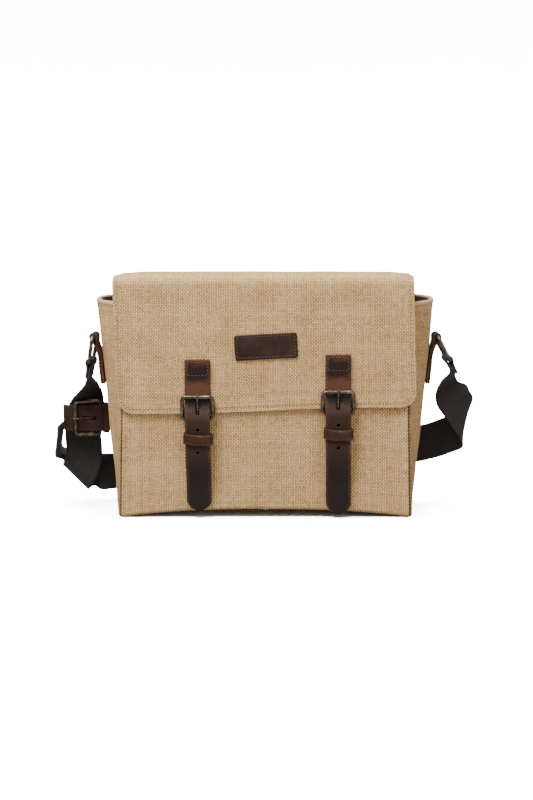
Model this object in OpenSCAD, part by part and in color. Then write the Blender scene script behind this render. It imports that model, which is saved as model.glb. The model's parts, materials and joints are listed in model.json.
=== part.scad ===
// Canvas messenger bag with leather closure straps and a webbing shoulder strap.
// X runs across the bag, the front faces -Y and Z is up. The origin is the centre of the
// underside. All sizes are in millimetres.

/* [Body] */
// Width of the front panel along its bottom edge
base_w = 294; // [260:1:320]
// Width of the front panel at the mouth
mouth_w = 281; // [250:1:294]
// Width across the side folds at the bottom
fold_base_w = 300; // [296:1:330]
// Width across the side folds at the mouth
fold_mouth_w = 341; // [320:1:360]
// Depth of the body at the bottom
base_d = 94; // [90:1:96]
// Depth of the body at the mouth
mouth_d = 92; // [88:1:94]
// Height of the mouth above the base
body_h = 216; // [210:1:218]
// Width of the flat along each side fold
fold_flat = 28; // [26:1:34]
// Thickness of the canvas walls
canvas_t = 2.4; // [1.6:0.2:2.6]
// Thickness of the lining fabric
lining_t = 0.8; // [0.4:0.1:1]

/* [Flap] */
// Height of the top of the flap
crown_h = 244; // [243:1:248]
// Front face of the closed flap, measured forward from the middle of the bag
flap_front_y = 52; // [52:0.5:54]
// Back face of the flap, measured backward from the middle of the bag
flap_back_y = 49; // [49:0.5:50]
// Radius of the two bends over the top, on the outside
flap_bend_r = 12; // [10:1:14]
// Width of the flap
flap_w = 296; // [280:1:300]
// Height of the flap's lower edge at its left end
flap_low_left = 105; // [104:1:108]
// Height of the flap's lower edge at its right end
flap_low_right = 113; // [112:1:114]
// Sideways lean of the flap's edges from its bend to its lower edge
flap_lean = 4; // [0:0.5:5]
// Radius of the flap's lower corners
flap_corner_r = 15; // [8:1:24]
// Height at which the back of the flap bends
hinge_h = 225.3; // [225:0.1:226]

/* [Closure straps] */
// Width of each closure strap
strap_w = 25; // [22:0.5:26]
// Thickness of the strap leather
strap_t = 3; // [2.4:0.1:3]
// Sideways place of the left strap
left_strap_x = -67; // [-80:1:-50]
// Sideways place of the right strap
right_strap_x = 72; // [50:1:80]
// Height of the left buckle's tip bar
left_bar_z = 123; // [122:1:124]
// Height of the right buckle's tip bar
right_bar_z = 128; // [127:1:129]
// Height of the left strap's lower end
left_tip_z = 8; // [6:1:30]
// Height of the right strap's lower end
right_tip_z = 4.5; // [4:0.5:30]
// Height of the stitched head on the flap
head_h = 18; // [14:1:22]
// Distance between the strap's holes
hole_pitch = 23; // [18:1:25]
// Diameter of the strap's holes
hole_d = 3.2; // [2.6:0.1:4]

/* [Closure buckles] */
// Diameter of the buckle's wire
wire_d = 4; // [3.6:0.1:4.2]
// Outside width of a buckle
buckle_w = 34.5; // [33.5:0.5:36]
// Distance from the tip bar to the heel bar
buckle_h = 22; // [21:0.5:23]
// Width of the prong
prong_w = 2.6; // [2:0.1:3]

/* [Shoulder strap] */
// Width of the shoulder webbing
webbing_w = 38; // [30:1:38]
// Thickness of the shoulder webbing
webbing_t = 2.2; // [1.6:0.1:2.4]
// Height of the bar that hangs in each side tab
ring_bar_z = 179; // [176:1:182]
// Distance between the two long bars of a side ring
ring_h = 26; // [24:1:30]
// Outward lean of the left side ring
left_ring_lean = 8; // [0:1:10]
// Outward lean of the right side ring
right_ring_lean = 27; // [20:1:30]
// Width of the leather in the shoulder buckle
billet_w = 27; // [24:1:28]

/* [Hidden] */
$fn = 48;

LEFT = -1;
RIGHT = 1;
CANVAS = [0.76, 0.66, 0.52];
LINING = [0.25, 0.17, 0.13];
BINDING = [0.80, 0.70, 0.55];
LEATHER = [0.20, 0.13, 0.11];
TAN_LEATHER = [0.40, 0.24, 0.17];
WEBBING = [0.17, 0.13, 0.13];
BRONZE = [0.35, 0.32, 0.27];

// Gap between parts that lie on each other
skin_gap = 0.1;
// Gap between the walls and the lining, which holds the snap washers
lining_gap = 1.6;
board_t = 2;
binding_h = 2.5;
binding_lap = 0.5;
bottom_gap = 0.3;

function mix(a, b, s) = a + (b - a) * s;
function strap_x(side) = side == LEFT ? left_strap_x : right_strap_x;
function bar_z(side) = side == LEFT ? left_bar_z : right_bar_z;
function tip_z(side) = side == LEFT ? left_tip_z : right_tip_z;
function ring_lean(side) = side == LEFT ? left_ring_lean : right_ring_lean;

// ---------- body walls ----------

// Plan outline of the body at a share s of its height, moved inward by inset
function outline(s, inset) =
  let (f = mix(base_w, mouth_w, s) / 2 - inset,
       r = mix(fold_base_w, fold_mouth_w, s) / 2 - inset,
       d = mix(base_d, mouth_d, s) / 2 - inset,
       k = fold_flat / 2)
  [[-f, -d], [f, -d], [r, -k], [r, k], [f, d], [-f, d], [-r, k], [-r, -k]];

// Shares of the height at which the walls' corners are set, so that twisted faces stay smooth
levels = [0, 0.25, 0.5, 0.75, 1];
last_level = len(levels) - 1;

function lift(p, z) = [p[0], p[1], z];

// A wall of the body along the outline corners listed in ids
module wall(ids) {
  last = len(ids) - 1;
  step = 2 * len(levels);
  points = [
    for (i = ids, s = levels)
      each [lift(outline(s, 0)[i], s * body_h), lift(outline(s, canvas_t)[i], s * body_h)]
  ];
  faces = concat(
    [for (k = [0:last - 1], j = [0:last_level - 1]) let (a = k * step + 2 * j, b = a + step)
      each [
        [a, a + 2, b + 2], [a, b + 2, b],
        [a + 1, b + 1, b + 3], [a + 1, b + 3, a + 3]
      ]],
    [for (k = [0:last - 1]) let (a = k * step, b = a + step, c = a + 2 * last_level, d = c + step)
      each [
        [a, b, b + 1], [a, b + 1, a + 1],
        [c, c + 1, d + 1], [c, d + 1, d]
      ]],
    [for (j = [0:last_level - 1]) let (a = 2 * j, b = last * step + 2 * j)
      each [
        [a, a + 1, a + 3], [a, a + 3, a + 2],
        [b, b + 2, b + 3], [b, b + 3, b + 1]
      ]]
  );
  polyhedron(points, faces);
}

// A solid that fills the body between two heights, moved in from the walls by inset
module body_fill(inset, z_low, z_high) {
  rings = [
    for (s = levels)
      let (z = mix(z_low, z_high, s))
        [for (p = outline(z / body_h, inset)) lift(p, z)]
  ];
  n = len(rings[0]);
  faces = concat(
    [[for (i = [0:n - 1]) i]],
    [[for (i = [n - 1:-1:0]) last_level * n + i]],
    [for (k = [0:last_level - 1], i = [0:n - 1]) let (a = k * n + i, b = k * n + (i + 1) % n)
      each [[a, a + n, b + n], [a, b + n, b]]]
  );
  polyhedron([for (r = rings) each r], faces);
}

module front_panel() {
  color(CANVAS) wall([0, 1]);
}

module right_gusset() {
  color(CANVAS) wall([1, 2, 3, 4]);
}

module back_panel() {
  color(CANVAS) wall([4, 5]);
}

module left_gusset() {
  color(CANVAS) wall([5, 6, 7, 0]);
}

module bottom_panel() {
  color(CANVAS) linear_extrude(canvas_t) polygon(outline(0, canvas_t + bottom_gap));
}

board_z = canvas_t + skin_gap;
lining_z = board_z + board_t + skin_gap;
lining_inset = canvas_t + lining_gap;

module base_board() {
  color("dimgray")
    translate([0, 0, board_z]) linear_extrude(board_t) polygon(outline(0, lining_inset));
}

module lining() {
  color(LINING)
    difference() {
      body_fill(lining_inset, lining_z, body_h);
      body_fill(lining_inset + lining_t, lining_z + lining_t, body_h + 1);
    }
}

module mouth_binding() {
  color(BINDING)
    translate([0, 0, body_h])
      linear_extrude(binding_h)
        difference() {
          polygon(outline(1, -binding_lap));
          polygon(outline(1, lining_inset + lining_t));
        }
}

// ---------- flap ----------

// Draws a profile given in the YZ plane and extrudes it along X between two places
module across(x_low, x_high) {
  translate([x_low, 0, 0]) rotate([90, 0, 90]) linear_extrude(x_high - x_low) children();
}

// Outline of the space under the flap's outer face, moved inward by inset
module flap_space(inset) {
  r = flap_bend_r - inset;
  y_low = inset - flap_front_y;
  y_high = flap_back_y - inset;
  top = crown_h - inset;
  union() {
    translate([y_low, 0]) square([y_high - y_low, top - r]);
    translate([y_low + r, 0]) square([y_high - y_low - 2 * r, top]);
    translate([y_low + r, top - r]) circle(r);
    translate([y_high - r, top - r]) circle(r);
  }
}

// Centre of the front bend, where the flap's two parts meet on a 45 degree line
bend_y = flap_bend_r - flap_front_y;
bend_z = crown_h - flap_bend_r;
fold_gap = 0.4;

// A band of the flap's profile between two insets, from the hinge to the front bend
module top_band(inset, thick) {
  difference() {
    flap_space(inset);
    flap_space(inset + thick);
    translate([-200, 0]) square([400, hinge_h + fold_gap]);
    translate([bend_y, bend_z]) rotate(135) translate([0, -fold_gap]) square(100);
    translate([-200, 0]) square([200 + bend_y, bend_z]);
  }
}

// The rest of the same band, round the front bend to the top of the flat front
module bend_band(inset, thick) {
  intersection() {
    difference() {
      flap_space(inset);
      flap_space(inset + thick);
    }
    translate([bend_y, bend_z]) rotate(135) translate([0, fold_gap]) square(100);
    translate([-200, bend_z]) square([200 + bend_y, 100]);
  }
}

// Outline of the flat front of the flap, seen from the front
module flap_outline(inset) {
  half = flap_w / 2 - inset;
  r = flap_corner_r - inset;
  lean = flap_lean / 2;
  hull() {
    translate([-half - lean, bend_z - 1]) square([2 * half, 1]);
    translate([-half + lean + r, flap_low_left + inset + r]) circle(r);
    translate([half + lean - r, flap_low_right + inset + r]) circle(r);
  }
}

lining_edge = 2;

module flap_top() {
  color(CANVAS) across(-flap_w / 2, flap_w / 2) top_band(0, canvas_t);
}

module flap_top_lining() {
  half = flap_w / 2 - lining_edge;
  color(LINING) across(-half, half) top_band(canvas_t, lining_t);
}

module flap_front() {
  half = flap_w / 2;
  lean = flap_lean / 2;
  color(CANVAS) {
    across(-half - lean, half - lean) bend_band(0, canvas_t);
    translate([0, canvas_t - flap_front_y, 0])
      rotate([90, 0, 0]) linear_extrude(canvas_t) flap_outline(0);
  }
}

module flap_front_lining() {
  half = flap_w / 2 - lining_edge;
  lean = flap_lean / 2;
  color(LINING) {
    across(-half - lean, half - lean) bend_band(canvas_t, lining_t);
    translate([0, canvas_t + lining_t - flap_front_y, 0])
      rotate([90, 0, 0]) linear_extrude(lining_t) flap_outline(lining_edge);
  }
}

anchor_low = 190;

// The sewn-down end of the flap on the back panel
module flap_anchor() {
  color(CANVAS)
    translate([-flap_w / 2, flap_back_y - canvas_t + 0.2, anchor_low])
      cube([flap_w, canvas_t - 0.4, hinge_h - fold_gap - anchor_low]);
}

patch_w = 62;
patch_h = 25;
patch_t = 1.8;
patch_x = 0.7;
patch_z = 172.6;
patch_tilt = 3;
patch_corner = 1.5;

module label_patch() {
  color(LEATHER)
    translate([patch_x, -flap_front_y - skin_gap, patch_z])
      rotate([0, -patch_tilt, 0])
        rotate([90, 0, 0])
          linear_extrude(patch_t)
            hull()
              for (i = [-1, 1], j = [-1, 1])
                translate([i * (patch_w / 2 - patch_corner), j * (patch_h / 2 - patch_corner)])
                  circle(patch_corner);
}

// ---------- closure straps ----------

// Layers in front of the flap: the strap's back face and its middle
strap_back_y = -flap_front_y - skin_gap - 0.1;
strap_mid_y = strap_back_y - strap_t / 2;
// The head ends this far above the tip bar, and the strap bends there
head_drop = 18.7;
// Wire radius and the places of the two bars
wire_r = wire_d / 2;
tip_bar_y = strap_back_y - strap_t - 0.7 - wire_r;
heel_bar_y = tip_bar_y + 2.9;
chape_t = 1.6;
chape_gap = 0.1;
chape_r = wire_r + chape_gap + chape_t;
prong_slot = 5;

// Middle line of the strap, as [y, height above the tip bar] from the bend to the heel bar
over_heel = heel_bar_y - chape_r - skin_gap - strap_t / 2;
strap_line = [
  [strap_mid_y, head_drop - 0.7],
  [strap_mid_y, 6],
  [strap_mid_y - 0.5, 0],
  [strap_mid_y - 1.1, -5],
  [strap_mid_y - 2.6, -11],
  [over_heel + 1.4, -17],
  [over_heel, -22],
  [over_heel + 0.2, -28]
];
keeper_drop = 41.5;
keeper_mid_y = over_heel + 2.4;
low_mid_y = -base_d / 2 - strap_t / 2 - 1.4;

// The whole middle line in the YZ plane for one side
function tail_line(side) =
  concat(
    [for (p = strap_line) [p[0], bar_z(side) + p[1]]],
    [[keeper_mid_y, bar_z(side) - keeper_drop],
     [keeper_mid_y + 0.3, bar_z(side) - 63],
     [low_mid_y - 0.8, 34],
     [low_mid_y, tip_z(side)]]
  );

// Unit normal of a line of points at point i
function line_normal(line, i) =
  let (a = line[max(i - 1, 0)],
       b = line[min(i + 1, len(line) - 1)],
       d = b - a)
  [-d[1], d[0]] / norm(d);

// A band of even thickness along a line of points in a plane
module band(line, thick) {
  n = len(line);
  polygon(concat(
    [for (i = [0:n - 1]) line[i] + line_normal(line, i) * thick / 2],
    [for (i = [n - 1:-1:0]) line[i] - line_normal(line, i) * thick / 2]
  ));
}

module strap_head(side) {
  top = bar_z(side) + head_drop + head_h;
  color(LEATHER)
    translate([strap_x(side) - strap_w / 2, strap_back_y - strap_t, top - head_h])
      cube([strap_w, strap_t, head_h]);
}

// Straight hole through the strap along Y
module strap_hole(z) {
  translate([0, -40, z]) rotate([90, 0, 0]) cylinder(d = hole_d, h = 40, $fn = 24);
}

slot_low = 17.5;
slot_high = 7.5;
free_holes = 2;

module strap_tail(side) {
  r = strap_w / 2;
  bar = bar_z(side);
  tip = tip_z(side);
  color(LEATHER)
    translate([strap_x(side), 0, 0])
      difference() {
        intersection() {
          across(-r, r) band(tail_line(side), strap_t);
          union() {
            translate([-r, -80, tip + r]) cube([strap_w, 60, 200]);
            translate([0, -20, tip + r]) rotate([90, 0, 0]) cylinder(r = r, h = 60);
          }
        }
        translate([-hole_d / 2 - 0.3, -80, bar - slot_low])
          cube([hole_d + 0.6, 60, slot_low - slot_high]);
        for (i = [1:free_holes]) strap_hole(bar - 9.5 - i * hole_pitch);
      }
}

// Wire frame with round corners in the XZ plane, centred on the origin
module wire_frame(w, h, r, corner) {
  for (s = [-1, 1]) {
    translate([-w / 2 + corner, 0, s * h / 2]) rotate([0, 90, 0]) cylinder(r = r, h = w - 2 * corner);
    translate([s * w / 2, 0, -h / 2 + corner]) cylinder(r = r, h = h - 2 * corner);
  }
  for (i = [0:3])
    rotate([0, 90 * i, 0])
      translate([(i % 2 == 0 ? w : h) / 2 - corner, 0, (i % 2 == 0 ? h : w) / 2 - corner])
        rotate([90, 0, 0]) rotate_extrude(angle = 90) translate([corner, 0]) circle(r);
}

frame_tilt = asin(2.9 / buckle_h);
frame_corner = 4;

module buckle_frame(side) {
  color(BRONZE)
    translate([strap_x(side), heel_bar_y, bar_z(side) - buckle_h * cos(frame_tilt)])
      rotate([frame_tilt, 0, 0])
        translate([0, 0, buckle_h / 2])
          wire_frame(buckle_w - wire_d, buckle_h, wire_r, frame_corner);
}

eye_gap = 0.06;
eye_r = wire_r + eye_gap + 1.3;
prong_t = 2;

// Middle line of the prong from the heel bar, as [y, height above the heel bar]
prong_line = [
  [heel_bar_y - 0.3, 2.6],
  [heel_bar_y - 0.9, 8],
  [strap_mid_y - 2.9, 11.6],
  [tip_bar_y - wire_r - prong_t / 2 - 0.15, 19],
  [tip_bar_y - wire_r - prong_t / 2 - 0.4, 24.6]
];

module buckle_prong(side) {
  heel = bar_z(side) - buckle_h * cos(frame_tilt);
  color(BRONZE)
    translate([strap_x(side), 0, heel])
      difference() {
        across(-prong_w / 2, prong_w / 2)
          union() {
            band(prong_line, prong_t);
            translate([heel_bar_y, 0]) circle(eye_r);
          }
        translate([-prong_w, heel_bar_y, 0])
          rotate([0, 90, 0]) cylinder(r = wire_r + eye_gap, h = 2 * prong_w);
      }
}

chape_len = 62;
chape_back_y = heel_bar_y + chape_t + 0.7;

// Short leather loop that holds the buckle and the snap
module chape(side) {
  heel = bar_z(side) - buckle_h * cos(frame_tilt);
  w = strap_w - 1;
  drop = chape_len - buckle_h;
  color(LEATHER)
    translate([strap_x(side), 0, heel])
      difference() {
        across(-w / 2, w / 2)
          union() {
            translate([heel_bar_y, 0]) circle(chape_r);
            translate([chape_back_y - 2 * chape_t, -drop]) square([2 * chape_t, drop]);
          }
        translate([-w, heel_bar_y, 0])
          rotate([0, 90, 0]) cylinder(r = wire_r + chape_gap, h = 2 * w);
        translate([-prong_slot / 2, heel_bar_y - 10, -chape_r - 1])
          cube([prong_slot, 20, 2 * chape_r + 2]);
      }
}

keeper_t = 1.8;
keeper_h = 10;
keeper_side_gap = 0.4;

// Leather band round the strap and the chape
module keeper(side) {
  w = strap_w + 2 * keeper_side_gap;
  y_low = keeper_mid_y - strap_t / 2 - 0.9;
  y_high = chape_back_y + 0.4;
  z = bar_z(side) - keeper_drop;
  color(TAN_LEATHER)
    translate([strap_x(side), 0, z - keeper_h / 2])
      difference() {
        translate([-w / 2 - keeper_t, y_low - keeper_t, 0])
          cube([w + 2 * keeper_t, y_high - y_low + 2 * keeper_t, keeper_h]);
        translate([-w / 2, y_low, -1]) cube([w, y_high - y_low, keeper_h + 2]);
      }
}

snap_drop = 55;
stud_r = 6;
socket_r = 7;
socket_t = 1.4;
washer_t = 1.2;
snap_face_gap = 0.25;

function panel_y(z) = -mix(base_d, mouth_d, z / body_h) / 2;

// Magnetic snap: the stud is on the chape, the socket is on the front panel
module snap_stud(side) {
  z = bar_z(side) - snap_drop;
  y_end = panel_y(z) - socket_t - 0.1 - snap_face_gap;
  color(BRONZE)
    translate([strap_x(side), chape_back_y, z])
      rotate([-90, 0, 0]) cylinder(r = stud_r, h = y_end - chape_back_y);
}

module snap_socket(side) {
  z = bar_z(side) - snap_drop;
  color(BRONZE)
    translate([strap_x(side), panel_y(z) - 0.1, z])
      rotate([90, 0, 0]) cylinder(r = socket_r, h = socket_t);
}

module snap_washer(side) {
  z = bar_z(side) - snap_drop;
  color(BRONZE)
    translate([strap_x(side), panel_y(z) + canvas_t + 0.1, z])
      rotate([-90, 0, 0]) cylinder(r = socket_r, h = washer_t);
}

// ---------- side tabs and rings ----------

ring_wire_r = 2;
ring_gap = 0.1;
tab_t = 2.2;
tab_w = 27;
tab_low = 131;
tab_loop_r = ring_wire_r + ring_gap + tab_t;

function fold_x(z) = mix(fold_base_w, fold_mouth_w, z / body_h) / 2;

fold_slope = atan((fold_mouth_w - fold_base_w) / 2 / body_h);
// The ring's upper bar is held this far outside the side fold
ring_bar_x = fold_x(ring_bar_z) + tab_loop_r + 3;

// Leather tab stitched to the side fold, with a loop at its top that holds the ring
module side_tab(side) {
  tail = ring_bar_z - tab_low;
  color(TAN_LEATHER)
    mirror([side == LEFT ? 1 : 0, 0, 0])
      rotate([90, 0, 0])
        translate([0, 0, -tab_w / 2])
          linear_extrude(tab_w)
            difference() {
              union() {
                translate([ring_bar_x, ring_bar_z]) circle(tab_loop_r);
                polygon([
                  [fold_x(ring_bar_z + 2) + 0.3, ring_bar_z + 2],
                  [ring_bar_x, ring_bar_z + tab_loop_r],
                  [ring_bar_x, ring_bar_z - tab_loop_r],
                  [fold_x(ring_bar_z - 9) + 0.3 + 2 * tab_t, ring_bar_z - 9],
                  [fold_x(tab_low) + 0.3 + 2 * tab_t, tab_low],
                  [fold_x(tab_low) + 0.3, tab_low]
                ]);
              }
              translate([ring_bar_x, ring_bar_z]) circle(ring_wire_r + ring_gap);
            }
}

ring_w = webbing_w + 2 * ring_wire_r + 2;
ring_corner = 4;

// Places things in the frame of a hanging ring: the upper bar is at the origin along Y
module at_ring(side) {
  mirror([side == LEFT ? 1 : 0, 0, 0])
    translate([ring_bar_x, 0, ring_bar_z]) rotate([0, -ring_lean(side), 0]) children();
}

module side_ring(side) {
  color(BRONZE)
    at_ring(side)
      rotate([0, 0, 90]) translate([0, 0, -ring_h / 2])
        wire_frame(ring_w, ring_h, ring_wire_r, ring_corner);
}

end_len = 16;
end_r = ring_wire_r + ring_gap + webbing_t;

// Sewn end of the webbing, wrapped round the ring's lower bar
module webbing_end(side) {
  color(WEBBING)
    at_ring(side)
      translate([0, webbing_w / 2, -ring_h])
        rotate([90, 0, 0])
          linear_extrude(webbing_w)
            difference() {
              union() {
                circle(end_r);
                translate([-webbing_t, -end_len]) square([2 * webbing_t, end_len]);
              }
              circle(ring_wire_r + ring_gap);
            }
}

// ---------- shoulder strap ----------

function unit(v) = v / norm(v);

// Direction of a route at stop i
function heading(route, i) =
  unit(route[min(i + 1, len(route) - 1)][0] - route[max(i - 1, 0)][0]);

// The four corners of a strip at stop i of its route
function strip_corners(route, i, w, t) =
  let (p = route[i][0],
       across_dir = unit(route[i][1]),
       out_dir = unit(cross(heading(route, i), across_dir)),
       a = across_dir * w / 2,
       b = out_dir * t / 2)
  [p - a + b, p + a + b, p + a - b, p - a - b];

// A flat strip that follows a route: each stop is [middle point, direction across the strip]
module strip(route, w, t) {
  last = len(route) - 1;
  points = [for (i = [0:last]) each strip_corners(route, i, w, t)];
  faces = concat(
    [[3, 2, 1], [3, 1, 0]],
    [for (i = [0:last - 1], c = [0:3])
      let (a = 4 * i + c, b = 4 * i + (c + 1) % 4)
      each [[a, b, b + 4], [a, b + 4, a + 4]]],
    [[4 * last, 4 * last + 1, 4 * last + 2], [4 * last, 4 * last + 2, 4 * last + 3]]
  );
  polyhedron(points, faces);
}

// From the left ring down beside the bag, through a diagonal fold, behind the bag and back
short_route = [
  [[-181, 2, 135], [0, 1, 0.1]],
  [[-182.5, 9.5, 125], [0.45, 1, 0.2]],
  [[-184.5, 19.5, 114], [1, 0.8, 0.1]],
  [[-187, 25, 103], [1, 0.35, 0]],
  [[-189.5, 28, 90], [1, 0.15, 0]],
  [[-191, 31, 73], [1, 0, 0]],
  [[-190.5, 30.5, 50], [1, 0, 0]],
  [[-197, 31, 31], [1, 0, -1]],
  [[-199.5, 33, 28], [1, 0, -1]],
  [[-197, 35, 30], [1, 0, -1]],
  [[-176, 40, 31], [0.2, 0, -1]],
  [[-160, 50, 31], [0, 0, -1]],
  [[-140, 55, 31], [0, 0, -1]],
  [[-90, 55, 34], [0, 0, -1]],
  [[-62, 55, 42], [0.3, 0, -1]],
  [[-47, 56, 57], [0.8, 0, -0.7]],
  [[-48, 56, 75], [0.8, 0, 0.5]],
  [[-62, 57, 90], [0.3, 0, 1]],
  [[-88, 60, 96], [0, 0, 1]],
  [[-112, 63, 96], [0, 0, 1]],
  [[-137, 66, 93], [0, 0, 1]]
];

// From the leather billet down, behind the bag, round the right side and up to the right ring
long_route = [
  [[-212, 13, 86], [0, 1, 0]],
  [[-213, 14, 74], [0, 1, 0]],
  [[-215.5, 22, 63], [0, 1, 0]],
  [[-215, 37, 54], [0.2, 1, 0]],
  [[-208.5, 43, 49], [0.58, 0.8, -0.05]],
  [[-199, 47, 44], [0.9, 0.5, -0.1]],
  [[-198.5, 42, 32], [1, 0.1, -0.8]],
  [[-200.5, 42, 28], [1, 0, -1]],
  [[-198, 44.5, 30], [1, 0, -1]],
  [[-177, 49, 31], [0.2, 0, -1]],
  [[-160, 57, 30], [0, 0, -1]],
  [[-140, 61, 31], [0, 0, -1]],
  [[-60, 62, 40], [0, 0, -1]],
  [[60, 60, 49], [0, 0, -1]],
  [[140, 56, 56], [0.1, 0, -1]],
  [[172, 46, 63], [0.35, 0, -0.95]],
  [[190, 36, 71], [0.38, 0, -0.92]],
  [[202, 28, 78], [0.25, 0, -1]],
  [[207.5, 20, 87], [-0.2, 0, -1]],
  [[204, 13, 99], [-0.55, -0.1, -0.8]],
  [[196, 8, 111], [-0.68, -0.1, -0.68]],
  [[190, 5, 122], [-0.8, 0.3, -0.5]],
  [[189, 2.5, 132], [-0.5, 0.9, -0.2]],
  [[192.3, 1, 139.5], [0, 1, 0]]
];

module short_webbing() {
  color(WEBBING) strip(short_route, webbing_w, webbing_t);
}

module long_webbing() {
  color(WEBBING) strip(long_route, webbing_w, webbing_t);
}

// The shoulder buckle stands at this place, turned towards the back
buckle_x = -196;
buckle_y = 8;
buckle_z = 93;
buckle_turn = 18;
shoulder_frame_w = 34;
shoulder_frame_h = 26;

module at_buckle() {
  translate([buckle_x, buckle_y, buckle_z]) rotate([0, 0, buckle_turn]) children();
}

// The buckle's tip bar is at its own origin and its heel bar is to the right, both along Z
module shoulder_buckle_frame() {
  color(BRONZE)
    at_buckle()
      translate([shoulder_frame_h / 2, 0, 0])
        rotate([0, 90, 0]) wire_frame(shoulder_frame_w, shoulder_frame_h, wire_r, frame_corner);
}

// Middle line of the billet in plan, seen in the buckle's own frame
billet_line = [
  [-8.5, 15], [-8, 9.5], [-6, 5.8], [-3, 4.1], [0, 3.8], [6, 2.4], [14, -1.6], [20, -4.6],
  [26, -5.6], [34, -3.6], [39.5, 2], [46, 11], [54, 24], [62, 31], [72, 32], [83, 29.3]
];
billet_t = 3;

module shoulder_billet() {
  color(LEATHER)
    at_buckle()
      difference() {
        translate([0, 0, -billet_w / 2]) linear_extrude(billet_w) band(billet_line, billet_t);
        translate([7, -20, -2]) cube([13.5, 40, 4]);
      }
}

shoulder_prong_line = [
  [shoulder_frame_h - 2.8, 0.2],
  [shoulder_frame_h - 9, -0.8],
  [9, -1.8],
  [3, -3.15],
  [-2.6, -3.4]
];

module shoulder_buckle_prong() {
  color(BRONZE)
    at_buckle()
      difference() {
        translate([0, 0, -prong_w / 2])
          linear_extrude(prong_w)
            union() {
              band(shoulder_prong_line, prong_t);
              translate([shoulder_frame_h, 0]) circle(eye_r);
            }
        translate([shoulder_frame_h, 0, -prong_w]) cylinder(r = wire_r + eye_gap, h = 2 * prong_w);
      }
}

shoulder_chape_line = [
  [shoulder_frame_h + 3.2, 0.6],
  [32.3, 0.6],
  [36.9, 4.2],
  [43.2, 12.9],
  [51.3, 26.1],
  [60.5, 34],
  [73.5, 37.6]
];

module shoulder_chape() {
  color(LEATHER)
    at_buckle()
      difference() {
        translate([0, 0, -billet_w / 2])
          linear_extrude(billet_w)
            union() {
              translate([shoulder_frame_h, 0]) circle(chape_r);
              band(shoulder_chape_line, 2 * chape_t);
            }
        translate([shoulder_frame_h, 0, -billet_w]) cylinder(r = wire_r + chape_gap, h = 2 * billet_w);
        translate([shoulder_frame_h - 10, -10, -prong_slot / 2])
          cube([10 + chape_r + 0.5, 20, prong_slot]);
      }
}

module shoulder_keeper() {
  w = billet_w + 2 * keeper_side_gap;
  color(LEATHER)
    at_buckle()
      translate([29.5, -8.5, -w / 2 - keeper_t])
        difference() {
          cube([4.5, 15.5, w + 2 * keeper_t]);
          translate([-1, keeper_t, keeper_t]) cube([7, 15.5 - 2 * keeper_t, w]);
        }
}

front_panel();
back_panel();
left_gusset();
right_gusset();
bottom_panel();
base_board();
lining();
mouth_binding();
flap_anchor();
flap_top();
flap_top_lining();
flap_front();
flap_front_lining();
label_patch();
strap_head(LEFT);  // left_strap_head
strap_head(RIGHT);  // right_strap_head
strap_tail(LEFT);  // left_strap_tail
strap_tail(RIGHT);  // right_strap_tail
buckle_frame(LEFT);  // left_buckle_frame
buckle_frame(RIGHT);  // right_buckle_frame
buckle_prong(LEFT);  // left_buckle_prong
buckle_prong(RIGHT);  // right_buckle_prong
chape(LEFT);  // left_chape
chape(RIGHT);  // right_chape
keeper(LEFT);  // left_keeper
keeper(RIGHT);  // right_keeper
snap_stud(LEFT);  // left_snap_stud
snap_stud(RIGHT);  // right_snap_stud
snap_socket(LEFT);  // left_snap_socket
snap_socket(RIGHT);  // right_snap_socket
snap_washer(LEFT);  // left_snap_washer
snap_washer(RIGHT);  // right_snap_washer
side_tab(LEFT);  // left_side_tab
side_tab(RIGHT);  // right_side_tab
side_ring(LEFT);  // left_ring
side_ring(RIGHT);  // right_ring
webbing_end(LEFT);  // left_webbing_end
webbing_end(RIGHT);  // right_webbing_end
short_webbing();
long_webbing();
shoulder_chape();
shoulder_billet();
shoulder_buckle_frame();
shoulder_buckle_prong();
shoulder_keeper();
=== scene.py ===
"""Canvas messenger bag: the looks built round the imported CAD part. Lengths here are in millimetres."""

import json
import math

import bmesh
import bpy
from mathutils import Matrix, Vector, noise


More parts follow.
